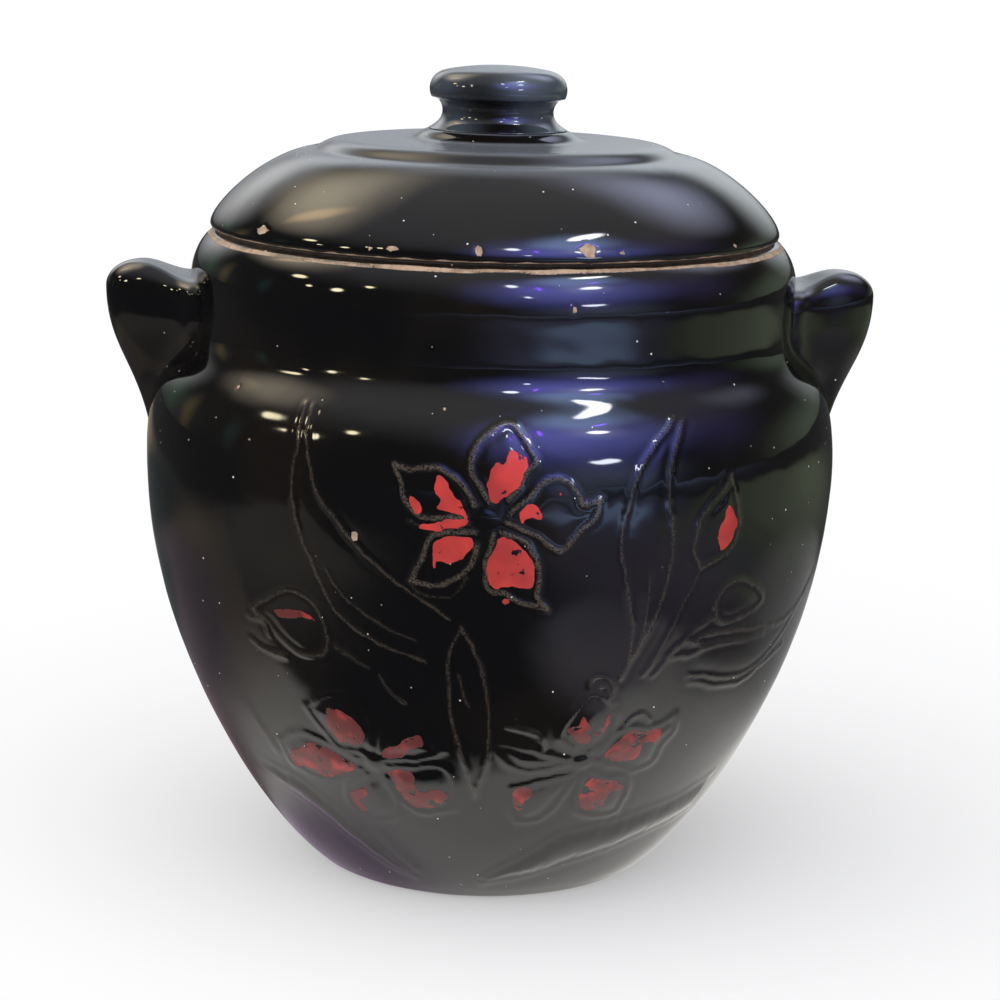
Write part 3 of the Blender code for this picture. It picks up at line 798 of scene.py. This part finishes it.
class Canvas:
    """The carved part of the pot's skin: where each of its places is, and what the ornament does there."""

    def __init__(self, across, up, squeeze):
        self.across = across + wander(across, up, DRIFT_ACROSS)
        self.up = up + wander(across, up, DRIFT_UP)
        self.squeeze = squeeze
        self.ridge = np.zeros(across.shape)
        self.groove = np.zeros(across.shape)
        self.pad = np.zeros(across.shape)
        self.crest = np.zeros(across.shape)
        self.paint = np.full(across.shape, FAR_OUTSIDE)

    def near(self, line):
        """The places within reach of a line."""
        low, high = line.min(0) - NEAR, line.max(0) + NEAR
        inside = (self.across > low[0]) & (self.across < high[0]) & (self.up > low[1]) & (self.up < high[1])
        return np.nonzero(inside)

    def distance(self, line, places):
        """Least distance from each of the places to the line."""
        x, y, squeeze = self.across[places], self.up[places], self.squeeze[places]
        best = np.full(x.shape, np.inf)
        for (ax, ay), (bx, by) in zip(line, line[1:]):
            ux, uy = (bx - ax) * squeeze, by - ay
            px, py = (x - ax) * squeeze, y - ay
            t = np.clip((px * ux + py * uy) / (ux * ux + uy * uy + 1e-9), 0, 1)
            best = np.minimum(best, np.hypot(px - t * ux, py - t * uy))
        return best

    def enclosed(self, line, places):
        """Which of the places lie inside the closed line."""
        x, y = self.across[places], self.up[places]
        inside = np.zeros(x.shape, bool)
        for (ax, ay), (bx, by) in zip(line, np.roll(line, -1, axis=0)):
            if ay != by:
                inside ^= ((ay > y) != (by > y)) & (x < (bx - ax) * (y - ay) / (by - ay) + ax)
        return inside

    def draw_ridge(self, points, height, width, rough):
        """A raised line, with a shallow valley along each side of it."""
        line = flowing(points)
        places = self.near(line)
        away = self.distance(line, places)
        uneven = 1 + rough * wander(self.across[places], self.up[places], RIDGE_DRIFT)
        body = np.exp(-((away / (RIDGE_WIDTH * width)) ** 2))
        raise_to(self.ridge, places, height * uneven * body)
        raise_to(self.crest, places, rough * np.exp(-((away / CREST_WIDTH) ** 2)))
        valley = np.exp(-(((away - GROOVE_OFFSET * width) / (GROOVE_WIDTH * width)) ** 2))
        raise_to(self.groove, places, height * valley)

    def draw_shape(self, strokes, pad, height, width, rough):
        """A shape with raised strokes round it and a pillowed pad inside."""
        for stroke in strokes:
            self.draw_ridge(stroke, height, width, rough)
        ring = flowing(strokes[0])
        if len(strokes) > 1:
            other = flowing(strokes[1])
            ends_meet = np.hypot(*(other[0] - ring[-1])) < np.hypot(*(other[-1] - ring[-1]))
            ring = np.vstack([ring, other if ends_meet else other[::-1]])
        ring = np.vstack([ring, ring[:1]])
        places = self.near(ring)
        depth = self.distance(ring, places) * self.enclosed(ring, places)
        raise_to(self.pad, places, pad * (1 - np.exp(-((depth / PAD_RAMP) ** 2))))

    def draw_boss(self, centre, half_width, half_height):
        """A small raised oval."""
        reach = np.hypot((self.across - centre[0]) / half_width, (self.up - centre[1]) / half_height)
        self.pad += BOSS_HEIGHT * np.exp(-(reach**4))

    def draw_paint(self, points, wear=0.0):
        """A patch of paint, whose value is the distance inside its edge, less what is worn away there."""
        ring = flowing_ring(points)
        places = self.near(ring)
        away = self.distance(ring, places)
        raise_to(self.paint, places, np.where(self.enclosed(ring, places), away, -away) - wear)

    def lift(self):
        """How far the ornament stands out from the turned skin, in millimetres."""
        return RIDGE_HEIGHT * self.ridge + PAD_HEIGHT * self.pad - GROOVE_DEPTH * self.groove


def ornament(across, up, squeeze):
    """The canvas with the whole ornament on it. The lines near the foot are softer than those above."""
    canvas = Canvas(across, up, squeeze)
    for shapes, style in SHAPES:
        for strokes in shapes:
            canvas.draw_shape(strokes, *style)
    for lines, style in LINES:
        for line in lines:
            canvas.draw_ridge(line, *style)
    for boss in BOSSES:
        canvas.draw_boss(*boss)
    for patch in RED_PATCHES:
        canvas.draw_paint(patch)
    for patch in FAINT_PATCHES:
        canvas.draw_paint(patch, FAINT_WEAR)
    return canvas


def chipped(azimuth, height, radius, chips):
    """(depth in metres, how far inside a chip's edge in millimetres) at each place of a turned skin."""
    depth = np.zeros(azimuth.shape)
    inside = np.full(azimuth.shape, FAR_OUTSIDE)
    for centre, chip_z, half_width, half_height, deep in chips:
        turn = np.angle(np.exp(1j * (azimuth - math.radians(centre))))
        across, up = turn * radius / MM, height / MM - chip_z
        ragged = 1 + wander(across, up, [(*CHIP_RAGGEDNESS, int(abs(centre) * 10))])
        reach = np.hypot(across / half_width, up / half_height) * ragged
        depth = np.maximum(depth, deep * MM * np.clip(CHIP_SPREAD - reach, 0, 1))
        inside = np.maximum(inside, (1 - reach) * min(half_width, half_height))
    return depth, inside


def plain_values(shape):
    """The values of a skin with nothing but glaze on it."""
    outside = np.full(shape, FAR_OUTSIDE)
    return {"paint": outside, "crest": np.zeros(shape), "clay": outside}


def add_values(mesh, name, values):
    """Stores a number for each vertex, for the mesh's material to read."""
    layer = mesh.attributes.new(name, "FLOAT", "POINT")
    layer.data.foreach_set("value", np.asarray(values, np.float32))


def swing(outline, azimuths):
    """(azimuth, radius, height, outward radius, outward height) of the places of a turned skin, by rows."""
    inner = outline[1:-1]
    along = np.gradient(outline, axis=0)[1:-1]
    out = np.c_[-along[:, 1], along[:, 0]] / np.hypot(*along.T)[:, None]
    turn = np.repeat(np.asarray(azimuths)[None, :], len(inner), 0)
    radius, height = (np.repeat(inner[:, k : k + 1], len(azimuths), 1) for k in (0, 1))
    out_radius, out_height = (np.repeat(out[:, k : k + 1], len(azimuths), 1) for k in (0, 1))
    return turn, radius, height, out_radius, out_height


def plan(places):
    """The x and y of the places in millimetres, with x to the front."""
    turn, radius = places[:2]
    return radius * np.cos(turn) / MM, radius * np.sin(turn) / MM


def skin_mesh(name, outline, places, lift, values):
    """A closed skin from its places, moved out by lift, with its two ends closed on the axis."""
    turn, radius, height, out_radius, out_height = places
    r, z = radius + lift * out_radius, height + lift * out_height
    rows, columns = r.shape
    points = np.stack([r * np.sin(turn), -r * np.cos(turn), z], -1).reshape(-1, 3)
    ends = np.array([(0.0, 0.0, outline[0][1]), (0.0, 0.0, outline[-1][1])])
    index = np.arange(rows * columns).reshape(rows, columns)
    beside = np.roll(index, -1, axis=1)
    quads = np.stack([index[:-1], index[1:], beside[1:], beside[:-1]], -1).reshape(-1, 4).tolist()
    first, last = rows * columns, rows * columns + 1
    caps = [(first, a, b) for a, b in zip(index[0].tolist(), beside[0].tolist())]
    caps += [(last, b, a) for a, b in zip(index[-1].tolist(), beside[-1].tolist())]
    mesh = bpy.data.meshes.new(name)
    mesh.from_pydata(np.vstack([points, ends]).tolist(), [], quads + caps)
    for value_name, value in values.items():
        add_values(mesh, value_name, np.r_[value.reshape(-1), value[0, 0], value[-1, 0]])
    mesh.shade_smooth()
    return mesh


def put(name, data):
    """A new object in the scene."""
    made = bpy.data.objects.new(name, data)
    bpy.context.scene.collection.objects.link(made)
    return made


def add_piece(name, mesh, body, slot, material, *nodes):
    """Puts a finished mesh in the scene, in place of the frame's nodes."""
    piece = put(name, mesh)
    mesh.materials.append(material)
    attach(piece, body)
    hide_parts(*nodes)


def front_and_back(fine_step, coarse_step):
    """Azimuths round the pot, close together across the ornament and wider apart behind."""
    left, right = math.radians(FRONT_LEFT), math.radians(FRONT_RIGHT)
    front = np.linspace(left, right, int((right - left) / fine_step))
    rest = np.linspace(right, left + 2 * math.pi, int((2 * math.pi - (right - left)) / coarse_step) + 2)
    return np.r_[front, rest[1:-1]]


def all_round(count):
    """Evenly spaced azimuths."""
    return np.linspace(-math.pi, math.pi, count, endpoint=False)


def build_pot():
    """The pot: its turned skin, slightly uneven, with the carved ornament, the chips and the bare rim."""
    outline, before = pot_outline()
    places = swing(outline, front_and_back(FINE / BELLY_RADIUS, BACK_STEP))
    turn, radius, height = places[:3]
    across, up = np.angle(np.exp(1j * turn)) * BELLY_RADIUS / MM, height / MM
    rows = np.arange(len(turn))[:, None]
    outside = (rows >= before) & (radius > FOOT_RADIUS + FOOT_EDGE)
    canvas = ornament(across, up, radius / BELLY_RADIUS)
    carved = outside & (height < ZONE_TOP)
    depth, chip = chipped(turn, height, radius, POT_CHIPS)
    x, y = plan(places)
    swell = wander(x + up, y - POT_SWELL_LEAN * up, POT_SWELL) + wander(x - up, y + up, POT_RIPPLE)
    lift = (np.where(carved, canvas.lift(), 0.0) + swell * outside) * MM - depth * outside
    below_rim = RIM_Z / MM - up
    line = CLAY_LINE - below_rim + wander(x, y, CLAY_LINE_DRIFT)
    bare_line = CLAY_HALF_WIDTH + wander(x, y, CLAY_WIDTH_DRIFT) - np.abs(line)
    bare_seat = np.where(radius < SEAT_RADIUS, BARE_SEAT_REACH - below_rim, FAR_OUTSIDE)
    near_rim = radius > MOUTH_RADIUS - MOUTH_ROUND
    bare_rim = np.where(near_rim, np.maximum(bare_line, bare_seat), FAR_OUTSIDE)
    bare_foot = BARE_FOOT_REACH - up + wander(x, y, FOOT_EDGE_DRIFT)
    clay = np.maximum(np.maximum(bare_rim, bare_foot), np.where(outside, chip, FAR_OUTSIDE))
    values = {
        "paint": np.where(carved, canvas.paint, FAR_OUTSIDE),
        "crest": np.where(carved, canvas.crest, 0.0),
        "clay": clay,
    }
    mesh = skin_mesh("dressed_pot", outline, places, lift, values)
    add_piece("dressed_pot", mesh, "pot", "black_glaze", ceramic("pot_glaze"), "pot_body")


def build_lid():
    """The lid, with its chipped edge and bare seat."""
    outline = lid_outline()
    places = swing(outline, all_round(LID_COLUMNS))
    turn, radius, height = places[:3]
    depth, chip = chipped(turn, height, radius, LID_CHIPS)
    x, y = plan(places)
    upper = (places[4] > LID_UNDERSIDE) & (radius > FLANGE_RADIUS) | (height > LID_EDGE_ROUND)
    lift = wander(x, y, LID_SWELL) * MM * upper - depth * upper
    edge = BARE_LID_REACH - height / MM + wander(x, y, LID_SEAT_DRIFT)
    bare_seat = np.where(radius > FLANGE_RADIUS - FLANGE_ROOM, edge, FAR_OUTSIDE)
    values = plain_values(turn.shape)
    values["clay"] = np.maximum(bare_seat, np.where(upper, chip, FAR_OUTSIDE))
    mesh = skin_mesh("dressed_lid", outline, places, lift, values)
    mesh.transform(Matrix.Translation((0, 0, SEAT_Z)))
    add_piece("dressed_lid", mesh, "lid", "black_glaze", ceramic("lid_glaze"), "lid")


def build_knob():
    """The knob, a little out of round, as a hand leaves it."""
    outline = knob_outline()
    places = swing(outline, all_round(KNOB_COLUMNS))
    x, y = plan(places)
    lift = wander(x + places[2] / MM, y, KNOB_SWELL) * MM
    mesh = skin_mesh("dressed_knob", outline, places, lift, plain_values(x.shape))
    mesh.transform(Matrix.Translation((0, 0, KNOB_BASE_Z)))
    # The knob's teal-grey colour is partly a painted sheen.
    add_piece("dressed_knob", mesh, "lid", "black_glaze", ceramic("knob_glaze", TEAL_GLAZE_AND_SHEEN), "knob")


def ear_edge(low_count, crown_count):
    """(reach, height) from the ear's foot up its outer edge to its crown."""
    foot, length = (EAR_FOOT_REACH, EAR_FOOT_Z), EAR_TIP_Z - EAR_FOOT_Z
    leave = (EAR_SWELL[0] * (EAR_REACH - EAR_FOOT_REACH), EAR_SWELL[1] * length)
    swell = cubic(foot, leave, (0, -EAR_SWELL[2] * length), (EAR_REACH, EAR_TIP_Z), low_count)
    a = np.linspace(0, math.pi / 2, crown_count + 1)[1:]
    over = EAR_TOP_REACH + (EAR_REACH - EAR_TOP_REACH) * np.cos(a)
    return joined([foot], swell, np.c_[over, EAR_TIP_Z + (EAR_CROWN_Z - EAR_TIP_Z) * np.sin(a)])


def ear_share(z):
    """The ear's share of its full thickness at a height: rounded off at the top, a keel at the foot."""
    full_z = EAR_CROWN_Z - EAR_EDGE_HEIGHT
    rounded = max(0.0, 1 - max(0.0, (z - full_z) / EAR_EDGE_HEIGHT) ** EAR_TOP_ROUND) ** (1 / EAR_TOP_ROUND)
    keel = EAR_KEEL / EAR_HALF_THICKNESS
    up = min(1.0, (z - EAR_FOOT_Z) / (full_z - EAR_FOOT_Z))
    return rounded * (keel + (1 - keel) * math.sin(up * math.pi / 2) ** EAR_TAPER)


def ear_half_width(out, reach, share, body_radius):
    """Half the ear's width at each distance out from the axis, for one level of the ear."""
    root = body_radius - EAR_BURY - EAR_TONGUE_DEPTH
    along = np.clip((out - root) / (reach - root), 0, 1)
    tongue = EAR_HALF_THICKNESS * (1 - along**EAR_ROUND) ** (1 / EAR_ROUND)
    flare = EAR_ROOT_FLARE * np.exp(-np.clip(out - body_radius, 0, None) / EAR_FLARE_FADE) * (1 - along)
    return share * (tongue + flare)


def ear_mesh():
    """A solid lug, lofted through level outlines, with its root inside the pot's wall."""
    side = pot_side()[::-1]
    around = np.sin(np.linspace(0, math.pi / 2, EAR_POINTS))
    rings = []
    for reach, z in ear_edge(*EAR_LEVELS):
        body_radius = np.interp(z, side[:, 1], side[:, 0])
        root = body_radius - EAR_BURY
        out = root + (reach - root) * around
        wide = ear_half_width(out, reach, ear_share(z), body_radius)
        up = np.clip((z - EAR_TIP_Z) / (EAR_CROWN_Z - EAR_TIP_Z), 0, 1)
        along = np.clip((out - WAIST_RADIUS) / (EAR_TOP_REACH - WAIST_RADIUS), 0, 1)
        lift = EAR_TOP_LIFT * up * along * along * (3 - 2 * along)
        right = np.c_[out, wide, z + lift]
        left = right[-2::-1] * (1, -1, 1)
        rings.append(np.vstack([right, left]))
    points = np.vstack(rings)
    points[:, 1] += MM * wander((points[:, 0] + points[:, 1]) / MM, points[:, 2] / MM, EAR_UNEVENNESS)
    count = len(rings[0])
    index = np.arange(len(points)).reshape(-1, count)
    quads = np.stack([index[:-1, :-1], index[:-1, 1:], index[1:, 1:], index[1:, :-1]], -1).reshape(-1, 4)
    closing = np.stack([index[:-1, -1], index[:-1, 0], index[1:, 0], index[1:, -1]], -1)
    mesh = bpy.data.meshes.new("ear")
    faces = np.vstack([quads, closing]).tolist() + [index[0, ::-1].tolist()]
    mesh.from_pydata(points.tolist(), [], faces)
    welded = bmesh.new()
    welded.from_mesh(mesh)
    bmesh.ops.remove_doubles(welded, verts=welded.verts, dist=SAME_POINT)
    welded.to_mesh(mesh)
    welded.free()
    for name, value in plain_values(len(mesh.vertices)).items():
        add_values(mesh, name, value)
    mesh.shade_smooth()
    return mesh


def build_ears():
    """The two ears, each the same lug turned to its side."""
    material = ceramic("ear_glaze")
    for name, node, turn in (("ear_right", "handle_right", 0.0), ("ear_left", "handle_left", math.pi)):
        mesh = ear_mesh()
        mesh.transform(Matrix.Rotation(turn, 4, "Z"))
        add_piece(name, mesh, "pot", "black_glaze", material, node)


class Nodes:
    """Short calls for laying out the nodes of a material or the world."""

    def __init__(self, owner):
        owner.use_nodes = True
        self.tree = owner.node_tree

    def add(self, kind, **settings):
        node = self.tree.nodes.new(kind)
        for key, value in settings.items():
            setattr(node, key, value)
        return node

    def link(self, source, target):
        self.tree.links.new(source, target)

    def feed(self, socket, value):
        """Sets a socket to a number or a colour, or links it."""
        if isinstance(value, bpy.types.NodeSocket):
            self.link(value, socket)
        elif isinstance(value, tuple) and len(value) == 3 and socket.type == "RGBA":
            socket.default_value = (*value, 1.0)
        else:
            socket.default_value = value

    def math(self, operation, a, b=0.0):
        node = self.add("ShaderNodeMath", operation=operation)
        self.feed(node.inputs[0], a)
        self.feed(node.inputs[1], b)
        return node.outputs[0]

    def mix(self, share, a, b, blend_type="MIX"):
        node = self.add("ShaderNodeMix", data_type="RGBA", blend_type=blend_type)
        self.feed(node.inputs["Factor"], share)
        self.feed(node.inputs[6], a)
        self.feed(node.inputs[7], b)
        return node.outputs[2]

    def scaled(self, colour, share):
        return self.mix(1.0, colour, (share, share, share), "MULTIPLY")

    def blend(self, share, a, b):
        node = self.add("ShaderNodeMix", data_type="FLOAT")
        self.feed(node.inputs["Factor"], share)
        self.feed(node.inputs[2], a)
        self.feed(node.inputs[3], b)
        return node.outputs[0]

    def ramp(self, value, low, high):
        """0 below low, 1 above high, and smooth between."""
        node = self.add("ShaderNodeMapRange", interpolation_type="SMOOTHSTEP")
        self.feed(node.inputs["Value"], value)
        node.inputs["From Min"].default_value = low
        node.inputs["From Max"].default_value = high
        return node.outputs["Result"]

    def noise(self, place, per_metre, detail=2.0):
        node = self.add("ShaderNodeTexNoise")
        self.link(place, node.inputs["Vector"])
        node.inputs["Scale"].default_value = per_metre
        node.inputs["Detail"].default_value = detail
        return node.outputs["Fac"]

    def value(self, name):
        return self.add("ShaderNodeAttribute", attribute_name=name).outputs["Fac"]

    def parts(self, vector):
        """The X, Y and Z of a vector."""
        node = self.add("ShaderNodeSeparateXYZ")
        self.link(vector, node.inputs["Vector"])
        return node.outputs

    def nearness(self, place, centre, size, turn=(0.0, 0.0, 0.0)):
        """1 at the centre of an oval, falling to 0 at its edge."""
        node = self.add("ShaderNodeMapping", vector_type="TEXTURE")
        self.link(place, node.inputs["Vector"])
        for name, value in (("Location", centre), ("Rotation", turn), ("Scale", size)):
            node.inputs[name].default_value = value
        fade = self.add("ShaderNodeTexGradient", gradient_type="SPHERICAL")
        self.link(node.outputs["Vector"], fade.inputs["Vector"])
        return fade.outputs["Fac"]

    def ragged(self, distance, noise, reach):
        """A distance inside an edge, which the noise moves in and out by half the reach."""
        return self.math("ADD", distance, self.math("MULTIPLY", self.math("SUBTRACT", noise, 0.5), reach))


def pinholes(n, place):
    """1 at small pits in the glaze, which are scattered and of several sizes."""
    cells = n.add("ShaderNodeTexVoronoi")
    n.link(place, cells.inputs["Vector"])
    cells.inputs["Scale"].default_value = PIT_SCALE
    pick = n.add("ShaderNodeSeparateColor")
    n.link(cells.outputs["Color"], pick.inputs["Color"])
    size = n.math("MULTIPLY", n.ramp(pick.outputs["Red"], *PIT_PICK), PIT_SIZE)
    return n.math("LESS_THAN", cells.outputs["Distance"], size)


def ceramic(name, black=BLACK_GLAZE):
    """Near-black glossy glaze, brown on the crests, with red paint, bare clay, pinholes, and dust with a
    painted sheen on upward faces.
    """
    material = bpy.data.materials.new(name)
    n = Nodes(material)
    shader = n.tree.nodes["Principled BSDF"]
    place = n.add("ShaderNodeTexCoord").outputs["Object"]
    broad = n.noise(place, BROAD_SCALE)
    fine = n.noise(place, FINE_SCALE, 3.0)
    grit = n.noise(place, GRIT_SCALE)
    glaze = n.mix(n.ramp(broad, *BROWN_AREAS), black, BROWN_GLAZE)
    worn = n.math("MULTIPLY", n.ramp(n.value("crest"), *WORN_CRESTS), n.ramp(grit, *WORN_GRIT))
    glaze = n.mix(worn, glaze, THIN_GLAZE)

    painted = n.ramp(n.ragged(n.value("paint"), fine, PAINT_RAGGEDNESS), *PAINT_EDGE)
    lowness = n.math("SUBTRACT", 1.0, n.ramp(n.parts(place)["Z"], *LOW_PAINT))
    scuffs = n.math("SUBTRACT", n.noise(place, SCUFF_SCALE, 4.0), n.math("MULTIPLY", lowness, LOW_SCUFFING))
    painted = n.math("MULTIPLY", painted, n.ramp(scuffs, *SCUFF_EDGE))
    red = n.mix(n.ramp(n.noise(place, RED_SCALE), *RED_AREAS), DARK_RED_PAINT, RED_PAINT)
    # Below those heights the red turns darker in patches.
    darker_low = n.math("MULTIPLY", lowness, n.ramp(n.noise(place, DARKER_LOW_SCALE), *DARKER_LOW_AREAS))
    red = n.mix(darker_low, red, LOW_RED_PAINT)
    colour = n.mix(painted, glaze, red)
    # Painted sheen with dust: glaze facing up is paled and made rougher.
    facing = n.parts(n.add("ShaderNodeNewGeometry").outputs["Normal"])
    dust_and_sheen = n.ramp(facing["Z"], *DUST_AND_SHEEN_FACING)
    colour = n.mix(n.math("MULTIPLY", dust_and_sheen, DUST_AND_SHEEN_SHARE), colour, DUST_AND_SHEEN)

    bare = n.ramp(n.ragged(n.value("clay"), grit, CLAY_RAGGEDNESS), *CLAY_EDGE)
    clay = n.mix(n.ramp(fine, *CLAY_AREAS), DARK_CLAY, CLAY)
    colour = n.mix(bare, colour, clay)
    pits = pinholes(n, place)
    colour = n.mix(pits, colour, PINHOLE)

    roughness = n.blend(n.ramp(broad, *GLOSS_AREAS), *GLAZE_ROUGHNESS)
    roughness = n.blend(dust_and_sheen, roughness, DUST_AND_SHEEN_ROUGHNESS)
    roughness = n.blend(worn, roughness, WORN_ROUGHNESS)
    roughness = n.blend(painted, roughness, PAINT_ROUGHNESS)
    roughness = n.blend(n.math("MAXIMUM", bare, pits), roughness, CLAY_ROUGHNESS)

    peel = n.math("MULTIPLY", n.noise(place, PEEL_SCALE, 1.0), PEEL_HEIGHT)
    rough_clay = n.math("MULTIPLY", n.math("MULTIPLY", bare, grit), CLAY_GRIT)
    height = n.math("ADD", n.math("ADD", peel, n.math("MULTIPLY", painted, PAINT_HEIGHT)), rough_clay)
    height = n.math("SUBTRACT", height, pits)
    bump = n.add("ShaderNodeBump")
    bump.inputs["Strength"].default_value = 1.0
    bump.inputs["Distance"].default_value = BUMP_HEIGHT
    n.link(height, bump.inputs["Height"])

    n.link(colour, shader.inputs["Base Color"])
    n.link(roughness, shader.inputs["Roughness"])
    n.link(bump.outputs["Normal"], shader.inputs["Normal"])
    shader.inputs["IOR"].default_value = GLAZE_IOR
    return material


def floor_material():
    """A pale floor, which the glaze mirrors as a tabletop that ends in front and at the right."""
    material = bpy.data.materials.new("pale_floor")
    n = Nodes(material)
    shader = n.tree.nodes["Principled BSDF"]
    place = n.add("ShaderNodeTexCoord").outputs["Object"]
    level = n.parts(place)
    x, y = level["X"], level["Y"]
    across = n.math("MULTIPLY", n.ramp(x, *TABLE_LEFT), n.math("SUBTRACT", 1.0, n.ramp(x, *TABLE_RIGHT)))
    ahead = n.math("ADD", y, n.math("MULTIPLY", x, TABLE_FRONT_SLANT))
    table = n.math("MULTIPLY", across, n.ramp(ahead, *TABLE_FRONT))
    seen = n.mix(table, DARK_FLOOR, n.mix(n.ramp(x, *TABLE_SHADE_EDGE), TABLE_SHADE, TABLE))
    for centre, radius, colour in FLOOR_DISCS:
        nearness = n.nearness(place, (*centre, 0.0), (radius, radius, radius))
        seen = n.mix(n.ramp(nearness, *DISC_EDGE), seen, colour)
    plain = n.mix(n.noise(place, FLOOR_MOTTLE), PALE_FLOOR, PALE_FLOOR_TOO)
    rays = n.add("ShaderNodeLightPath")
    mirrored, looked_at = rays.outputs["Is Glossy Ray"], rays.outputs["Is Camera Ray"]
    lit = n.mix(looked_at, plain, n.scaled(plain, SHADOW_SHARE))
    glow = n.mix(looked_at, (0.0, 0.0, 0.0), n.scaled(plain, 1 - SHADOW_SHARE))
    n.link(n.mix(mirrored, lit, n.scaled(seen, TABLE_LIT)), shader.inputs["Base Color"])
    n.link(n.mix(mirrored, glow, n.scaled(seen, TABLE_GLOW)), shader.inputs["Emission Color"])
    shader.inputs["Emission Strength"].default_value = 1.0
    shader.inputs["Roughness"].default_value = FLOOR_ROUGHNESS
    shader.inputs["Specular IOR Level"].default_value = 0.0
    return material


def build_floor():
    """A wide pale floor, turned as the photographed tabletop is."""
    mesh = bpy.data.meshes.new("floor")
    corners = [(sx * FLOOR_REACH, sy * FLOOR_REACH, 0.0) for sx, sy in ((-1, -1), (1, -1), (1, 1), (-1, 1))]
    mesh.from_pydata(corners, [], [(0, 1, 2, 3)])
    mesh.materials.append(floor_material())
    floor = put("floor", mesh)
    floor.location.z = -FLOOR_GAP
    floor.rotation_euler.z = CAMERA_TURN


def mirrored_room(n):
    """The colour that the glaze mirrors in each direction above the floor: a dim room with soft lamps."""
    direction = n.add("ShaderNodeTexCoord").outputs["Generated"]
    seen = n.mix(n.ramp(n.parts(direction)["Z"], *ROOM_FADE), ROOM_LOW, ROOM_HIGH)
    for azimuth, elevation, half_width, half_height, softness, colour in GLOWS:
        turn, tilt = math.radians(azimuth), math.radians(elevation)
        across = Vector((math.cos(turn), math.sin(turn), 0.0))
        level = Vector((math.sin(turn), -math.cos(turn), 0.0))
        outward = math.cos(tilt) * level + Vector((0.0, 0.0, math.sin(tilt)))
        facing = Matrix((across, outward.cross(across), outward)).transposed()
        size = (math.sin(math.radians(half_width)), math.sin(math.radians(half_height)), GLOW_DEPTH)
        nearness = n.nearness(direction, outward, size, facing.to_euler())
        seen = n.mix(n.ramp(nearness, 0.0, softness), seen, colour, "ADD")
    return seen


def build_light():
    """A soft light from above in a plain world, which is white to the camera and a room to the glaze."""
    sun = bpy.data.lights.new("overhead", "SUN")
    sun.energy = SUN_STRENGTH
    sun.angle = SUN_WIDTH
    overhead = put("overhead", sun)
    overhead.rotation_euler = SUN_TILT
    overhead.visible_glossy = False
    world = bpy.context.scene.world or bpy.data.worlds.new("room")
    bpy.context.scene.world = world
    n = Nodes(world)
    background = n.tree.nodes["Background"]
    rays = n.add("ShaderNodeLightPath")
    around = n.mix(rays.outputs["Is Glossy Ray"], PLAIN_WORLD, mirrored_room(n))
    n.link(n.mix(rays.outputs["Is Camera Ray"], around, BACKDROP), background.inputs["Color"])
    background.inputs["Strength"].default_value = 1.0


def build_camera():
    """The camera at the photograph's place, tilted as it was held."""
    fall = (AIM_HEIGHT - CAMERA_HEIGHT) / CAMERA_DISTANCE
    forward = Vector((math.sin(CAMERA_YAW), math.cos(CAMERA_YAW), fall)).normalized()
    level = forward.cross(Vector((0, 0, 1))).normalized()
    upright = level.cross(forward)
    right = math.cos(CAMERA_ROLL) * level + math.sin(CAMERA_ROLL) * upright
    up = math.cos(CAMERA_ROLL) * upright - math.sin(CAMERA_ROLL) * level
    pose = Matrix((right, up, -forward)).transposed().to_4x4()
    pose.translation = (0.0, -CAMERA_DISTANCE, CAMERA_HEIGHT)
    data = bpy.data.cameras.new("camera")
    data.sensor_width = SENSOR
    data.lens = LENS
    camera = put("camera", data)
    camera.matrix_world = Matrix.Rotation(CAMERA_TURN, 4, "Z") @ pose
    bpy.context.scene.camera = camera


def main():
    build_camera()
    build_pot()
    build_ears()
    build_lid()
    build_knob()
    build_floor()
    build_light()
    bpy.context.scene.view_settings.view_transform = "Standard"


main()
